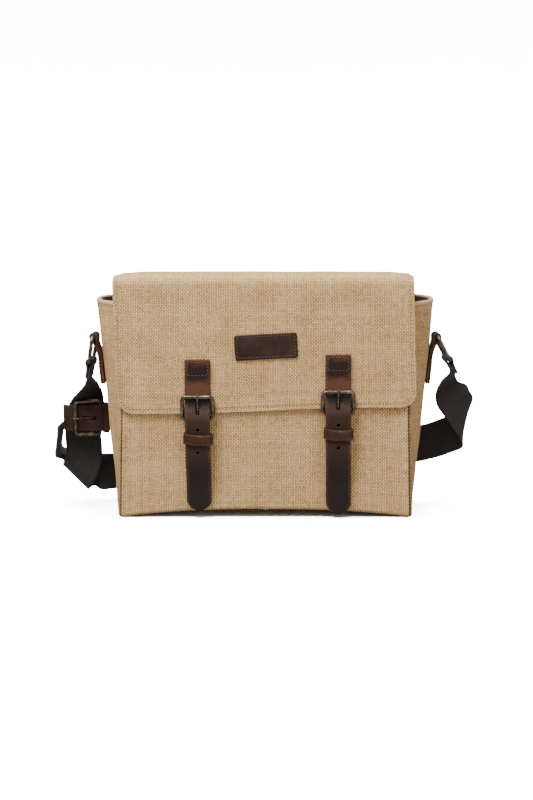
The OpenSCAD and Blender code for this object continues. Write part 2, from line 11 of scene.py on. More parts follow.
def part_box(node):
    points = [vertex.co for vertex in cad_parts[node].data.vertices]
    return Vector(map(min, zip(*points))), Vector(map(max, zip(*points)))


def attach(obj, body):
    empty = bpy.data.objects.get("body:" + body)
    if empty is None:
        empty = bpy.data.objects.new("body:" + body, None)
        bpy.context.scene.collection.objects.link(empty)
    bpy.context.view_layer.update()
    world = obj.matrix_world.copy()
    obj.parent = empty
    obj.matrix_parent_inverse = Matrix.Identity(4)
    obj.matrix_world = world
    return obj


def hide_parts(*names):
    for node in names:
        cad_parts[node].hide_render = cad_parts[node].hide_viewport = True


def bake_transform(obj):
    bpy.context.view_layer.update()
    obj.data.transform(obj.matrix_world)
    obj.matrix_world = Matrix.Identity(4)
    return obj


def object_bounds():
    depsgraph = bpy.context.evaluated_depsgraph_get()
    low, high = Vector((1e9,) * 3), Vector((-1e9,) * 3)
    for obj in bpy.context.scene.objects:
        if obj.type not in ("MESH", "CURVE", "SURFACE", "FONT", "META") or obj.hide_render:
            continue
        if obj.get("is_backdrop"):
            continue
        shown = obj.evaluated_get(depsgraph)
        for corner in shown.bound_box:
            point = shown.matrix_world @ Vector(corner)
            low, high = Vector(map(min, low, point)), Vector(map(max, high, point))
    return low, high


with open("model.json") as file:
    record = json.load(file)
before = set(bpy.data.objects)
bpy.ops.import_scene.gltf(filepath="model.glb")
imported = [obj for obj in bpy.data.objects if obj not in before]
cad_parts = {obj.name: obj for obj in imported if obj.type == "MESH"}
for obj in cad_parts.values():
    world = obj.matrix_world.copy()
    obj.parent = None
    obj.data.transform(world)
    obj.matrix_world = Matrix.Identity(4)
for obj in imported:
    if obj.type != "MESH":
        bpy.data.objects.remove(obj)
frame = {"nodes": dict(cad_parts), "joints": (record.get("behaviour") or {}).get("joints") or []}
cad_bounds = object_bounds()

MM = 0.001
LEFT = -1
RIGHT = 1
SIDES = {LEFT: "left", RIGHT: "right"}
NODES = frame["nodes"]
JOINTS = {j["name"]: j for j in frame["joints"]}


# ---------- numbers and curves ----------


def mix(a, b, t):
    return a + (b - a) * t


def ease(t):
    t = min(max(t, 0.0), 1.0)
    return t * t * (3 - 2 * t)


def crowd(t, share):
    """t moved towards its nearer end, so that samples lie closer together there."""
    return mix(t, 0.5 - 0.5 * math.cos(math.pi * t), share)


def hill(x, width):
    return math.exp(-((x / width) ** 2))


def ripple(p, size, seed):
    """Smooth noise from -1 to 1 with features of that size."""
    return noise.noise(Vector(p) / size + Vector((seed, 2.7 * seed, -1.3 * seed)))


def shift(x, y, z):
    return Matrix.Translation(Vector((x, y, z)))


def box(name):
    """Lowest and highest corner of a CAD node."""
    low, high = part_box(name)
    return low / MM, high / MM


def joint_place(name):
    return Vector(JOINTS[name]["pos_m"]) / MM


def curve(stops, step):
    """Samples of a smooth curve through stops, each a list of numbers that starts with a point."""
    spans = [math.dist(a[:3], b[:3]) for a, b in zip(stops, stops[1:])]
    last = len(stops) - 1
    slopes = []
    for i in range(last + 1):
        before = [(b - a) / spans[i - 1] for a, b in zip(stops[i - 1], stops[i])] if i > 0 else None
        after = [(b - a) / spans[i] for a, b in zip(stops[i], stops[i + 1])] if i < last else None
        if before is None or after is None:
            slopes.append(after if before is None else before)
            continue
        share = spans[i - 1] / (spans[i - 1] + spans[i])
        slopes.append([mix(b, a, share) for b, a in zip(before, after)])
    samples = []
    for i in range(last):
        h = spans[i]
        count = max(2, round(h / step))
        for k in range(count):
            t = k / count
            w = (2 * t**3 - 3 * t**2 + 1, (t**3 - 2 * t**2 + t) * h, 3 * t**2 - 2 * t**3, (t**3 - t**2) * h)
            rows = zip(stops[i], slopes[i], stops[i + 1], slopes[i + 1])
            samples.append([sum(x * y for x, y in zip(w, row)) for row in rows])
    samples.append(list(stops[last]))
    return samples


def path_lengths(points):
    total = [0.0]
    for a, b in zip(points, points[1:]):
        total.append(total[-1] + (b - a).length)
    return total


def tangents(points, loop=False):
    n = len(points)
    found = []
    for i in range(n):
        a = points[(i - 1) % n] if loop else points[max(i - 1, 0)]
        b = points[(i + 1) % n] if loop else points[min(i + 1, n - 1)]
        found.append((b - a).normalized())
    return found


# ---------- meshes ----------


def add(name, data):
    obj = bpy.data.objects.new(name, data)
    bpy.context.scene.collection.objects.link(obj)
    return obj


def new_object(name, points, faces, corner_uv, material, wear_and_shade=None, crease=60):
    """A smooth mesh object with its texture map in metres and a share at each point of edge rubbing, and on
    canvas of painted shade and dirt.
    """
    mesh = bpy.data.meshes.new(name)
    mesh.from_pydata([Vector(p) * MM for p in points], [], faces)
    uv = mesh.uv_layers.new(name="surface")
    k = 0
    for face in corner_uv:
        for u, v in face:
            uv.data[k].uv = (u * MM, v * MM)
            k += 1
    # share of edge rubbing on leather; on canvas, painted shade and dirt in seam and stitch grooves
    worn_and_shaded = mesh.attributes.new("worn_and_shaded", "FLOAT", "POINT")
    worn_and_shaded.data.foreach_set("value", wear_and_shade if wear_and_shade else [0.0] * len(points))
    mesh.materials.append(material)
    edit = bmesh.new()
    edit.from_mesh(mesh)
    bmesh.ops.remove_doubles(edit, verts=edit.verts, dist=1e-6)
    bmesh.ops.recalc_face_normals(edit, faces=edit.faces)
    edit.to_mesh(mesh)
    edit.free()
    mesh.shade_smooth()
    mesh.set_sharp_from_angle(angle=math.radians(crease))
    return add(name, mesh)


def grid_object(name, rows, uv_rows, material, wear_and_shade=None, loop=False, caps=True, ring=False, crease=60):
    """A mesh from rows of points. loop joins its last column to its first, ring its last row to its first.

    uv_rows has one more column than rows where loop is set, and one more row where ring is set."""
    n = len(rows[0])
    m = len(rows)
    faces = []
    corner_uv = []
    for i in range(m if ring else m - 1):
        for j in range(n if loop else n - 1):
            a = (i + 1) % m
            b = (j + 1) % n
            faces.append((i * n + j, i * n + b, a * n + b, a * n + j))
            corner_uv.append((uv_rows[i][j], uv_rows[i][j + 1], uv_rows[i + 1][j + 1], uv_rows[i + 1][j]))
    if loop and caps and not ring:
        for i in (0, m - 1):
            faces.append(tuple(i * n + j for j in range(n)))
            corner_uv.append(tuple(uv_rows[i][j] for j in range(n)))
    points = [p for row in rows for p in row]
    values = [w for row in wear_and_shade for w in row] if wear_and_shade else None
    return new_object(name, points, faces, corner_uv, material, values, crease)


def cut(obj, cutters):
    """Takes the cutters' shapes out of obj."""
    for cutter in cutters:
        step = obj.modifiers.new("cut", "BOOLEAN")
        step.operation = "DIFFERENCE"
        step.solver = "EXACT"
        step.object = cutter
    graph = bpy.context.evaluated_depsgraph_get()
    mesh = bpy.data.meshes.new_from_object(obj.evaluated_get(graph))
    obj.modifiers.clear()
    obj.data = mesh
    for cutter in cutters:
        bpy.data.objects.remove(cutter)


def cutter_object(edit):
    mesh = bpy.data.meshes.new("cutter")
    edit.to_mesh(mesh)
    edit.free()
    return add("cutter", mesh)


def round_cutter(place, axis, radius, length):
    """A cylinder to cut with, centred on place."""
    edit = bmesh.new()
    turn = Vector((0, 0, 1)).rotation_difference(Vector(axis)).to_matrix().to_4x4()
    matrix = Matrix.Translation(Vector(place) * MM) @ turn
    r = radius * MM
    bmesh.ops.create_cone(
        edit, cap_ends=True, segments=20, radius1=r, radius2=r, depth=length * MM, matrix=matrix
    )
    return cutter_object(edit)


def slot_cutter(matrix, size):
    """A block to cut with, of that size along the matrix's axes."""
    edit = bmesh.new()
    bmesh.ops.create_cube(edit, size=1, matrix=Matrix.Diagonal(Vector((*size, 1))))
    edit.transform(Matrix.Scale(MM, 4) @ matrix)
    return cutter_object(edit)


def section(width, thick, corner, across=10):
    """Outline of a flat band, as (across, out) from one edge round to the same edge."""
    r = min(corner, thick / 2, width / 2)
    a = width / 2 - r
    b = thick / 2 - r

    def turned(x, y, turns):
        angles = [math.radians(turn) for turn in turns]
        return [(x + r * math.cos(angle), y + r * math.sin(angle)) for angle in angles]

    points = [(mix(-a, a, k / across), thick / 2) for k in range(across + 1)]
    points += turned(a, b, (60, 30, 0)) + turned(a, -b, (0, -30, -60))
    points += [(mix(a, -a, k / across), -thick / 2) for k in range(across + 1)]
    return points + turned(-a, -b, (240, 210, 180)) + turned(-a, b, (180, 150, 120))


def outs_of(points, across, loop=False):
    """The direction out of a band's face at each point."""
    return [t.cross(a).normalized() for t, a in zip(tangents(points, loop), across)]


def band(name, points, across, width, thick, material, corner=0.7, loop=False, taper=None, relief=None):
    """A flat band that follows points. taper gives its width at each point, relief its surface's rise."""
    outs = outs_of(points, across, loop)
    length = path_lengths(points)
    widths = taper if taper else [width] * len(points)
    stations = list(zip(points, across, outs, widths, [thick] * len(points), length))
    if not loop:
        heads = tangents(points)
        r = min(corner, thick / 2)
        first = stations[0]
        last = stations[-1]
        for share, shrink in ((0.6, 0.25), (1.0, 0.95)):
            w = first[3] - 2 * r * shrink
            t = first[4] - 2 * r * shrink
            p = first[0] - heads[0] * r * share
            stations.insert(0, (p, first[1], first[2], w, t, first[5] - r * share))
            w = max(last[3] - 2 * r * shrink, 0.4)
            t = last[4] - 2 * r * shrink
            p = last[0] + heads[-1] * r * share
            stations.append((p, last[1], last[2], w, t, last[5] + r * share))
    rows = []
    uv_rows = []
    wear_and_shade = []
    for p, a, o, w, t, s in stations:
        outline = section(w, t, corner)
        row = []
        for x, y in outline:
            rise = relief(x, s, w) if relief else 0.0
            row.append(p + a * x + o * (y + math.copysign(rise, y)))
        rows.append(row)
        uv_rows.append([(x, s) for x, y in outline] + [(outline[0][0], s)])
        wear_and_shade.append([hill(w / 2 - abs(x), 1.6) for x, y in outline])
    if loop:
        total = length[-1] + (points[0] - points[-1]).length
        uv_rows.append([(x, total) for x, s in uv_rows[0]])
    return grid_object(name, rows, uv_rows, material, wear_and_shade, loop=True, ring=loop)


def stitches(name, lines, material, pitch=3.7, long=2.7, thick=0.95):
    """Sewn stitches along lines, each a list of (point, direction out of the cloth)."""
    points = []
    faces = []
    corner_uv = []
    stages = ((-0.5, 0.3, -0.42), (-0.36, 0.85, -0.05), (0, 1, 0.12))
    stages += ((0.36, 0.85, -0.05), (0.5, 0.3, -0.42))
    for line in lines:
        places = [p for p, n in line]
        total = path_lengths(places)
        count = max(1, int(total[-1] / pitch))
        gap = total[-1] / count
        k = 0
        for c in range(count):
            s = (c + 0.5) * gap
            while total[k + 1] < s:
                k += 1
            t = (s - total[k]) / (total[k + 1] - total[k])
            p = places[k].lerp(places[k + 1], t)
            along = (places[k + 1] - places[k]).normalized()
            out = line[k][1]
            across = along.cross(out).normalized()
            base = len(points)
            for place, fat, rise in stages:
                for corner in range(6):
                    angle = math.radians(60 * corner)
                    r = thick / 2 * fat
                    offset = across * r * math.cos(angle) + out * (r * math.sin(angle) + rise * thick)
                    points.append(p + along * place * long + offset)
            for ring in range(4):
                for corner in range(6):
                    nxt = (corner + 1) % 6
                    a = base + ring * 6
                    faces.append((a + corner, a + nxt, a + 6 + nxt, a + 6 + corner))
                    far = corner + 1
                    corner_uv.append(((corner, ring), (far, ring), (far, ring + 1), (corner, ring + 1)))
            for a in (base, base + 24):
                faces.append(tuple(a + corner for corner in range(6)))
                corner_uv.append(tuple((corner, 0) for corner in range(6)))
    return new_object(name, points, faces, corner_uv, material)


def seam_lines(corners, count, place):
    """Stitch lines from corner to corner in count steps. place(a, b) gives the point and direction."""
    lines = []
    for (a0, b0), (a1, b1) in zip(corners, corners[1:]):
        lines.append([place(mix(a0, a1, k / count), mix(b0, b1, k / count)) for k in range(count + 1)])
    return lines


def loop_points(half_a, half_b, corner, steps=6, along=9):
    """Rounded rectangle as (a, b) points, with steps round each corner and along each side."""
    found = []
    corners = ((half_a, half_b, 0), (-half_a, half_b, 90), (-half_a, -half_b, 180), (half_a, -half_b, 270))
    for i, (a, b, start) in enumerate(corners):
        ca = a - math.copysign(corner, a)
        cb = b - math.copysign(corner, b)
        for k in range(steps):
            angle = math.radians(start + 90 * k / steps)
            found.append((ca + corner * math.cos(angle), cb + corner * math.sin(angle)))
        na, nb, _ = corners[(i + 1) % 4]
        angle = math.radians(start + 90)
        da = corner * math.cos(angle)
        db = corner * math.sin(angle)
        ea = na - math.copysign(corner, na)
        eb = nb - math.copysign(corner, nb)
        for k in range(along):
            found.append((mix(ca, ea, k / along) + da, mix(cb, eb, k / along) + db))
    return found


def plate(name, matrix, width, height, corner, profile, material, lift):
    """A sewn-down pad: rings of a rounded rectangle, from (inset, rise) steps. lift adds to its top."""
    rows = []
    uv_rows = []
    wear_and_shade = []
    for inset, rise in profile:
        r = max(corner - inset, 0.15)
        outline = loop_points(width / 2 - inset, height / 2 - inset, r, steps=4, along=12)
        row = []
        for x, z in outline:
            more = lift(x, z) if rise > 0.6 else 0.0
            row.append(matrix @ Vector((x, -rise - more, z)))
        rows.append(row)
        uv_rows.append(outline + [outline[0]])
        wear_and_shade.append([hill(inset - 0.4, 0.9)] * len(row))
    return grid_object(name, rows, uv_rows, material, wear_and_shade, loop=True)


# ---------- materials ----------


class Look:
    """A node material that reads the surface map, in metres."""

    def __init__(self, name):
        self.material = bpy.data.materials.new(name)
        self.material.use_nodes = True
        self.tree = self.material.node_tree
        self.tree.nodes.clear()
        self.shader = self.put("ShaderNodeBsdfPrincipled")
        output = self.put("ShaderNodeOutputMaterial")
        self.tree.links.new(self.shader.outputs["BSDF"], output.inputs["Surface"])

    def put(self, kind, inputs=None, **settings):
        node = self.tree.nodes.new(kind)
        for key, value in settings.items():
            setattr(node, key, value)
        for key, value in (inputs or {}).items():
            if isinstance(value, bpy.types.NodeSocket):
                self.tree.links.new(value, node.inputs[key])
            else:
                node.inputs[key].default_value = value
        return node

    def calc(self, op, *values):
        inputs = dict(enumerate(values))
        return self.put("ShaderNodeMath", inputs, operation=op).outputs[0]

    def times(self, a, b):
        return self.calc("MULTIPLY", a, b)

    def plus(self, a, b):
        return self.calc("ADD", a, b)

    def wave(self, value, period):
        """A sine with that period in millimetres."""
        return self.calc("SINE", self.times(value, 2 * math.pi / (period * MM)))

    def surface(self):
        """The two coordinates of the surface map, in metres."""
        uv = self.put("ShaderNodeUVMap", uv_map="surface")
        parts = self.put("ShaderNodeSeparateXYZ", {0: uv.outputs["UV"]})
        return uv.outputs["UV"], parts.outputs["X"], parts.outputs["Y"]

    def place(self):
        """The object's own coordinates, for a hard CAD node."""
        return self.put("ShaderNodeTexCoord").outputs["Object"]

    def grain(self, where, scale, detail=3.0, rough=0.55, stretch=(1, 1, 1)):
        moved = self.put("ShaderNodeMapping", {"Vector": where, "Scale": stretch}).outputs[0]
        inputs = {"Vector": moved, "Scale": scale, "Detail": detail, "Roughness": rough}
        return self.put("ShaderNodeTexNoise", inputs).outputs["Fac"]

    def ramp(self, share, stops):
        node = self.put("ShaderNodeValToRGB", {"Fac": share})
        points = node.color_ramp.elements
        while len(points) < len(stops):
            points.new(0.5)
        for point, (place, colour) in zip(points, stops):
            point.position = place
            point.color = (*shade(colour), 1)
        return node.outputs["Color"]

    def fade(self, share, a, b):
        node = self.put("ShaderNodeMix", data_type="RGBA")
        for key, value in ((0, share), (6, a), (7, b)):
            self.tree.links.new(value, node.inputs[key])
        return node.outputs[2]

    def span(self, value, low, high, to_low, to_high):
        inputs = {"Value": value, "From Min": low, "From Max": high, "To Min": to_low, "To Max": to_high}
        return self.put("ShaderNodeMapRange", inputs).outputs[0]

    # the mesh's share of edge rubbing, and on canvas of painted shade and dirt
    def worn_and_shaded(self):
        return self.put("ShaderNodeAttribute", attribute_name="worn_and_shaded").outputs["Fac"]

    def bump(self, height, depth, strength=1.0):
        inputs = {"Height": height, "Distance": depth * MM, "Strength": strength}
        return self.put("ShaderNodeBump", inputs).outputs[0]

    def finish(self, **sockets):
        for key, value in sockets.items():
            target = self.shader.inputs[key.replace("_", " ")]
            if isinstance(value, bpy.types.NodeSocket):
                self.tree.links.new(value, target)
            else:
                target.default_value = value
        return self.material


PORES = 1300.0


def shade(colour):
    """Linear light from a colour given as 0 to 255 on a screen."""
    return tuple(c / 255 / 12.92 if c <= 10 else ((c / 255 + 0.055) / 1.055) ** 2.4 for c in colour)


def weave(look, u, v, pitch):
    """Plain weave: height, share that is warp, and the number of the warp and weft threads."""
    across = look.calc("DIVIDE", u, pitch * MM)
    along = look.calc("DIVIDE", v, pitch * MM)
    warp = look.calc("FLOOR", across)
    weft = look.calc("FLOOR", along)

    def thread(position, other, number, shift):
        body = look.calc("ABSOLUTE", look.calc("SINE", look.times(position, math.pi)))
        phase = look.times(look.plus(look.plus(other, number), shift), math.pi)
        wave = look.plus(look.times(look.calc("COSINE", phase), 0.42), 0.58)
        return look.times(body, wave)

    up = thread(across, along, warp, -0.5)
    over = thread(along, across, weft, 0.5)
    height = look.calc("MAXIMUM", up, over)
    return height, look.calc("GREATER_THAN", up, over), warp, weft


def canvas_look(name, dark, middle, light, pitch=1.7):
    """Plain weave with uneven yarn. Where the mesh marks it, the colour darkens with painted shade and some
    dirt, as in the groove along a turned seam.
    """
    look = Look(name)
    uv, u, v = look.surface()
    height, is_warp, warp, weft = weave(look, u, v, pitch)

    def yarn(number, slub):
        tone = look.put("ShaderNodeTexWhiteNoise", {"W": number}, noise_dimensions="1D").outputs["Value"]
        return look.plus(look.times(tone, 0.22), look.times(slub, 1.7))

    warp_slub = look.grain(uv, 900, 2, 0.6, (1, 0.16, 1))
    warp_all = yarn(warp, warp_slub)
    weft_all = yarn(weft, look.grain(uv, 900, 2, 0.6, (0.16, 1, 1)))
    warp_part = look.times(look.plus(warp_all, 0.42), is_warp)
    weft_part = look.times(weft_all, look.calc("SUBTRACT", 1.0, is_warp))
    tone = look.plus(warp_part, weft_part)
    mottle = look.grain(uv, 34, 4, 0.6)
    tone = look.plus(tone, look.times(mottle, 0.55))
    tone = look.plus(tone, look.times(height, 1.0))
    share = look.span(tone, 1.25, 2.75, 0.0, 1.0)
    colour = look.ramp(share, [(0.0, dark), (0.5, middle), (1.0, light)])
    # painted shade and some dirt: a darker canvas colour for the seam and stitch grooves
    groove_shade_and_dirt = look.ramp(mottle, [(0.2, tuple(0.42 * c for c in dark)), (0.8, tuple(0.55 * c for c in dark))])
    colour = look.fade(look.times(look.worn_and_shaded(), 0.95), colour, groove_shade_and_dirt)
    normal = look.bump(look.plus(height, look.times(warp_slub, 0.5)), 0.4, 0.9)
    return look.finish(Base_Color=colour, Roughness=0.93, Normal=normal, Specular_IOR_Level=0.1)


def lining_look():
    look = Look("lining_twill")
    uv, u, v = look.surface()
    wave = look.wave(look.plus(u, v), 1.1)
    fuzz = look.grain(uv, 900, 3, 0.6)
    soft = look.times(look.grain(uv, 22, 2, 0.5), 0.35)
    tone = look.plus(look.times(wave, 0.2), look.times(fuzz, 0.6))
    tone = look.plus(tone, soft)
    colour = look.ramp(tone, [(0.1, (40, 27, 21)), (0.5, (62, 43, 33)), (0.9, (84, 60, 47))])
    return look.finish(Base_Color=colour, Roughness=0.8, Normal=look.bump(wave, 0.12, 0.6))


def leather_skin(look, uv, cloud, colour, rim, least, most):
    """Worn rims, pores, soft lumps and an uneven sheen over a leather's colour."""
    wear_and_shade = look.times(look.worn_and_shaded(), look.span(cloud, 0.3, 0.7, least, most))
    colour = look.fade(wear_and_shade, colour, rim)
    cells = {"Vector": uv, "Scale": PORES}
    pores = look.put("ShaderNodeTexVoronoi", cells, feature="DISTANCE_TO_EDGE").outputs["Distance"]
    height = look.plus(look.calc("MINIMUM", pores, 0.25), look.times(cloud, 0.8))
    rough = look.span(look.grain(uv, 180, 3), 0.3, 0.7, 0.5, 0.7)
    normal = look.bump(height, 0.3, 0.5)
    return look.finish(Base_Color=colour, Roughness=rough, Normal=normal, Specular_IOR_Level=0.22)


def leather_look(name, deep, body, edge):
    look = Look(name)
    uv = look.surface()[0]
    cloud = look.grain(uv, 55, 5, 0.6)
    pull = look.grain(uv, 300, 3, 0.6, (1, 0.25, 1))
    tone = look.plus(look.times(cloud, 0.75), look.times(pull, 0.25))
    colour = look.ramp(look.span(tone, 0.32, 0.68, 0.0, 1.0), [(0.0, deep), (0.55, body), (1.0, edge)])
    rim = look.ramp(cloud, [(0.3, body), (0.7, edge)])
    return leather_skin(look, uv, cloud, colour, rim, 0.35, 0.95)


def strap_look(name, length):
    """Closure strap leather: reddish above the buckle, dark and burnished below it, with a painted shadow
    as a dark band just under the tip bar.
    """
    look = Look(name)
    uv, _, v = look.surface()
    cloud = look.grain(uv, 60, 5, 0.6)
    place = look.plus(v, look.times(look.calc("SUBTRACT", cloud, 0.5), 0.02))
    share = look.calc("DIVIDE", place, length * MM)
    stops = [
        (0.0, (76, 40, 26)),
        (0.04, (31, 16, 10)),
        (0.12, (31, 16, 10)),
        (0.16, (82, 48, 33)),
        (0.225, (79, 46, 31)),
        # painted shadow: dark band where the strap dips under the buckle's tip bar
        (0.25, (24, 14, 10)),
        (0.285, (22, 13, 10)),
        (0.315, (50, 29, 20)),
        (0.5, (46, 28, 20)),
        (0.75, (34, 22, 18)),
        (1.0, (27, 18, 15)),
    ]
    colour = look.ramp(share, stops)
    rim = look.ramp(cloud, [(0.25, (50, 28, 21)), (0.7, (100, 58, 41))])
    return leather_skin(look, uv, cloud, colour, rim, 0.3, 0.9)


def webbing_look():
    look = Look("webbing_herringbone")
    uv, u, v = look.surface()
    zigzag = look.calc("PINGPONG", u, 3.2 * MM)
    wave = look.wave(look.plus(zigzag, v), 1.5)
    fuzz = look.grain(uv, 420, 3, 0.65)
    cloud = look.grain(uv, 30, 3, 0.5)
    tone = look.plus(look.times(wave, 0.14), look.times(fuzz, 0.6))
    tone = look.plus(tone, look.times(cloud, 0.45))
    colour = look.ramp(tone, [(0.25, (18, 12, 11)), (0.55, (32, 22, 21)), (0.85, (52, 37, 35))])
    height = look.plus(wave, look.times(fuzz, 0.8))
    normal = look.bump(height, 0.22, 0.7)
    return look.finish(Base_Color=colour, Roughness=0.72, Normal=normal, Sheen_Weight=0.03)


def metal_look():
    look = Look("antique_bronze")
    where = look.place()
    cloud = look.grain(where, 140, 5, 0.6)
    fine = look.grain(where, 500, 3)
    return metal_skin(look, where, cloud, fine, (60, 53, 46), (104, 93, 80), (160, 144, 120))


def worn_metal_look():
    """The same bronze for pieces that have a surface map."""
    look = Look("antique_bronze_worn")
    uv = look.surface()[0]
    cloud = look.grain(uv, 140, 5, 0.6)
    return metal_skin(look, uv, cloud, cloud, (64, 56, 48), (110, 98, 84), (166, 150, 124))


def metal_skin(look, where, cloud, height, dark, middle, light):
    colour = look.ramp(cloud, [(0.3, dark), (0.55, middle), (0.8, light)])
    rough = look.span(look.grain(where, 420, 3), 0.3, 0.7, 0.26, 0.46)
    normal = look.bump(height, 0.08, 0.5)
    return look.finish(Base_Color=colour, Metallic=1.0, Roughness=rough, Normal=normal)


def thread_look(name, dark, light):
    look = Look(name)
    uv, u, v = look.surface()
    twist = look.wave(look.plus(u, v), 1.5)
    tone = look.plus(look.times(twist, 0.3), look.grain(uv, 300, 2))
    colour = look.ramp(tone, [(0.2, dark), (0.8, light)])
    return look.finish(Base_Color=colour, Roughness=0.7, Normal=look.bump(twist, 0.15, 0.6))


def board_look():
    look = Look("fibre_board")
    uv = look.surface()[0]
    fleck = look.grain(uv, 900, 4, 0.7)
    colour = look.ramp(fleck, [(0.3, (36, 33, 31)), (0.6, (62, 57, 53)), (0.8, (88, 82, 75))])
    return look.finish(Base_Color=colour, Roughness=0.88, Normal=look.bump(fleck, 0.15, 0.5))


CANVAS = canvas_look("canvas_weave", (98, 69, 40), (184, 143, 93), (237, 206, 154))
BINDING = canvas_look("binding_weave", (150, 114, 74), (208, 172, 122), (240, 212, 162), 1.2)
LINING = lining_look()
LEATHER = leather_look("leather_dark", (28, 16, 11), (42, 24, 16), (80, 43, 28))
PATCH = leather_look("leather_patch", (28, 16, 12), (41, 24, 19), (60, 35, 26))
TAN = leather_look("leather_tan", (36, 19, 12), (52, 29, 18), (106, 62, 40))
WEBBING = webbing_look()
METAL = metal_look()
PRONG_METAL = worn_metal_look()
THREAD = thread_look("thread_tan", (182, 150, 104), (240, 218, 172))
DARK_THREAD = thread_look("thread_brown", (70, 46, 34), (122, 88, 64))
BOARD = board_look()


# ---------- body ----------

PANEL = box("front_panel")
FOLD = box("right_gusset")
BASE_HALF = PANEL[1].x
BODY_TOP = PANEL[1].z
BASE_DEPTH = -PANEL[0].y
FOLD_TOP = FOLD[1].x
MOUTH_NARROWING = 6.5
FOLD_SPREAD = 20.5
DEPTH_TAPER = 1.0
FOLD_HALF_FLAT = 14
CANVAS_T = 2.2
BASE_ROUND = 3.0
SEAM_CORNERS = (0, 3, 4, 7)
PANEL_SIDE = {0: -1, 3: 1, 4: -1, 7: 1}
SPANS = (26, 8, 26, 90, 26, 8, 26, 64)
ARC_STEPS = 10


def corners_at(s, inset):
    """Plan corners at a share of the height, from the back left one round the left side to the front."""
    f = BASE_HALF - MOUTH_NARROWING * s - inset
    r = FOLD_TOP - FOLD_SPREAD * (1 - s) - inset
    d = BASE_DEPTH - DEPTH_TAPER * s - inset
    k = FOLD_HALF_FLAT
    return [Vector(p) for p in ((-f, d), (-r, k), (-r, -k), (-f, -d), (f, -d), (r, -k), (r, k), (f, d))]


def plan(s, inset):
    """The soft plan outline as (place, outward direction) columns, starting in the middle of the back."""
    corners = corners_at(s, inset)
    n = len(corners)
    arcs = []
    for i, c in enumerate(corners):
        a = (corners[i - 1] - c).normalized()
        b = (corners[(i + 1) % n] - c).normalized()
        half = a.angle(b) / 2
        r = max((4.5 if i in SEAM_CORNERS else 26.0) - inset, 1.0)
        reach = min(r / math.tan(half), 13.0)
        r = reach * math.tan(half)
        centre = c + (a + b).normalized() * (r / math.sin(half))
        start = c + a * reach
        end = c + b * reach
        points = []
        for k in range(ARC_STEPS + 1):
            d = (start - centre).lerp(end - centre, k / ARC_STEPS).normalized()
            points.append((centre + d * r, d))
        arcs.append(points)
    columns = []
    for i in range(n):
        columns += arcs[i]
        a = arcs[i][-1][0]
        b = arcs[(i + 1) % n][0][0]
        along = (b - a).normalized()
        out = Vector((along.y, -along.x))
        for k in range(1, SPANS[i]):
            columns.append((a.lerp(b, crowd(k / SPANS[i], 0.75)), out))
    middle = len(columns) - SPANS[-1] // 2
    return columns[middle:] + columns[:middle]


def seam_columns():
    """Column numbers of the four seams in plan(), with the side on which the panel lies."""
    found = []
    at = SPANS[-1] // 2 - 1
    for i in range(8):
        if i in SEAM_CORNERS:
            found.append((at + 1 + ARC_STEPS // 2, PANEL_SIDE[i]))
        at += ARC_STEPS + SPANS[i]
    return found


def arch(x, y):
    """How far the underside stands off the table: most along the middle of the front edge."""
    across = max(0.0, 1 - (abs(x) / 147) ** 2.4)
    depth = mix(0.25, 1.0, ease((30 - y) / 74))
    return 8.0 * across * depth


def sag(x, y, z, out):
    """How far the soft wall stands out from its plan."""
    s = z / BODY_TOP
    panel = out.y**2
    low = hill(z - 40, 60)
    bulge = 1.3 * math.sin(math.pi * s) * (1 - (x / 150) ** 2)
    wrinkle = 0.55 * ripple((x, y, z), 62, 3) * (0.4 + low)
    wrinkle += 0.3 * ripple((x, y, 0.6 * z), 26, 5) * (0.3 + low)
    t = (abs(y) - 14) / 32
    inward = -3.0 * s * math.sin(math.pi * min(max(t, 0), 1))
    crease = 0.9 * ripple((x, y, 0.22 * z), 13, 7) + 0.5 * ripple((x, y, z), 30, 9)
    return panel * (bulge + wrinkle) + (1 - panel) * (inward + crease)


def seam_relief(a):
    """Rise of the cloth beside a turned seam: a groove with a soft roll on the panel's side."""
    return 1.5 * hill(a - 3.2, 2.1) - 3.0 * hill(a, 1.15) + 0.5 * hill(a + 3, 2)


def rim_lift(y, s):
    """The mouth's edge stands a little higher at the back than at the front."""
    return 4.2 * (y / BASE_DEPTH) * ease((s - 0.88) / 0.12)


def seam_shade():
    """Share of painted shade and dirt at each column of plan(), in the grooves of the four turned seams."""
    places = [c[0] for c in plan(0.5, 0)]
    total = path_lengths(places)
    seams = [total[j] for j, side in seam_columns()]
    return [max(hill(at - seam, 1.5) for seam in seams) for at in total]


def wall_row(s, inset, relief):
    """One closed row of the body's wall at a share of its height."""
    columns = plan(s, inset)
    places = [c[0] for c in columns]
    total = path_lengths(places)
    seams = [(total[j], side) for j, side in seam_columns()]
    row = []
    for (p, out), at in zip(columns, total):
        z = BODY_TOP * s
        rise = sag(p.x, p.y, z, out)
        if relief:
            near, side = min(seams, key=lambda seam: abs(seam[0] - at))
            rise += seam_relief((at - near) * side) * relief
        place = p + out * rise
        row.append(Vector((place.x, place.y, z + arch(p.x, p.y) * (1 - s) ** 1.6 + rim_lift(p.y, s))))
    return row, total


def ring_map(total, heights):
    """Surface map of closed rows: the length along them and a height for each."""
    ends = total + [total[-1] + 4]
    return [[(u, v) for u in ends] for v in heights]


def floor_rows(inset, steps, height):
    """Rows that close the body's underside, from its middle line out to its edge."""
    edge, _ = wall_row(0, inset, 0)
    rows = []
    for k in range(steps):
        q = 1 - k / steps
        row = []
        for p in edge:
            x = p.x * (1 - 0.3 * q)
            y = p.y * (1 - q)
            wave = 0.5 * (1 + ripple((x, y, 0), 45, 13)) * (1 - (2 * q - 1) ** 2)
            row.append(Vector((x, y, height + arch(x, y) + wave)))
        rows.append(row)
    return rows


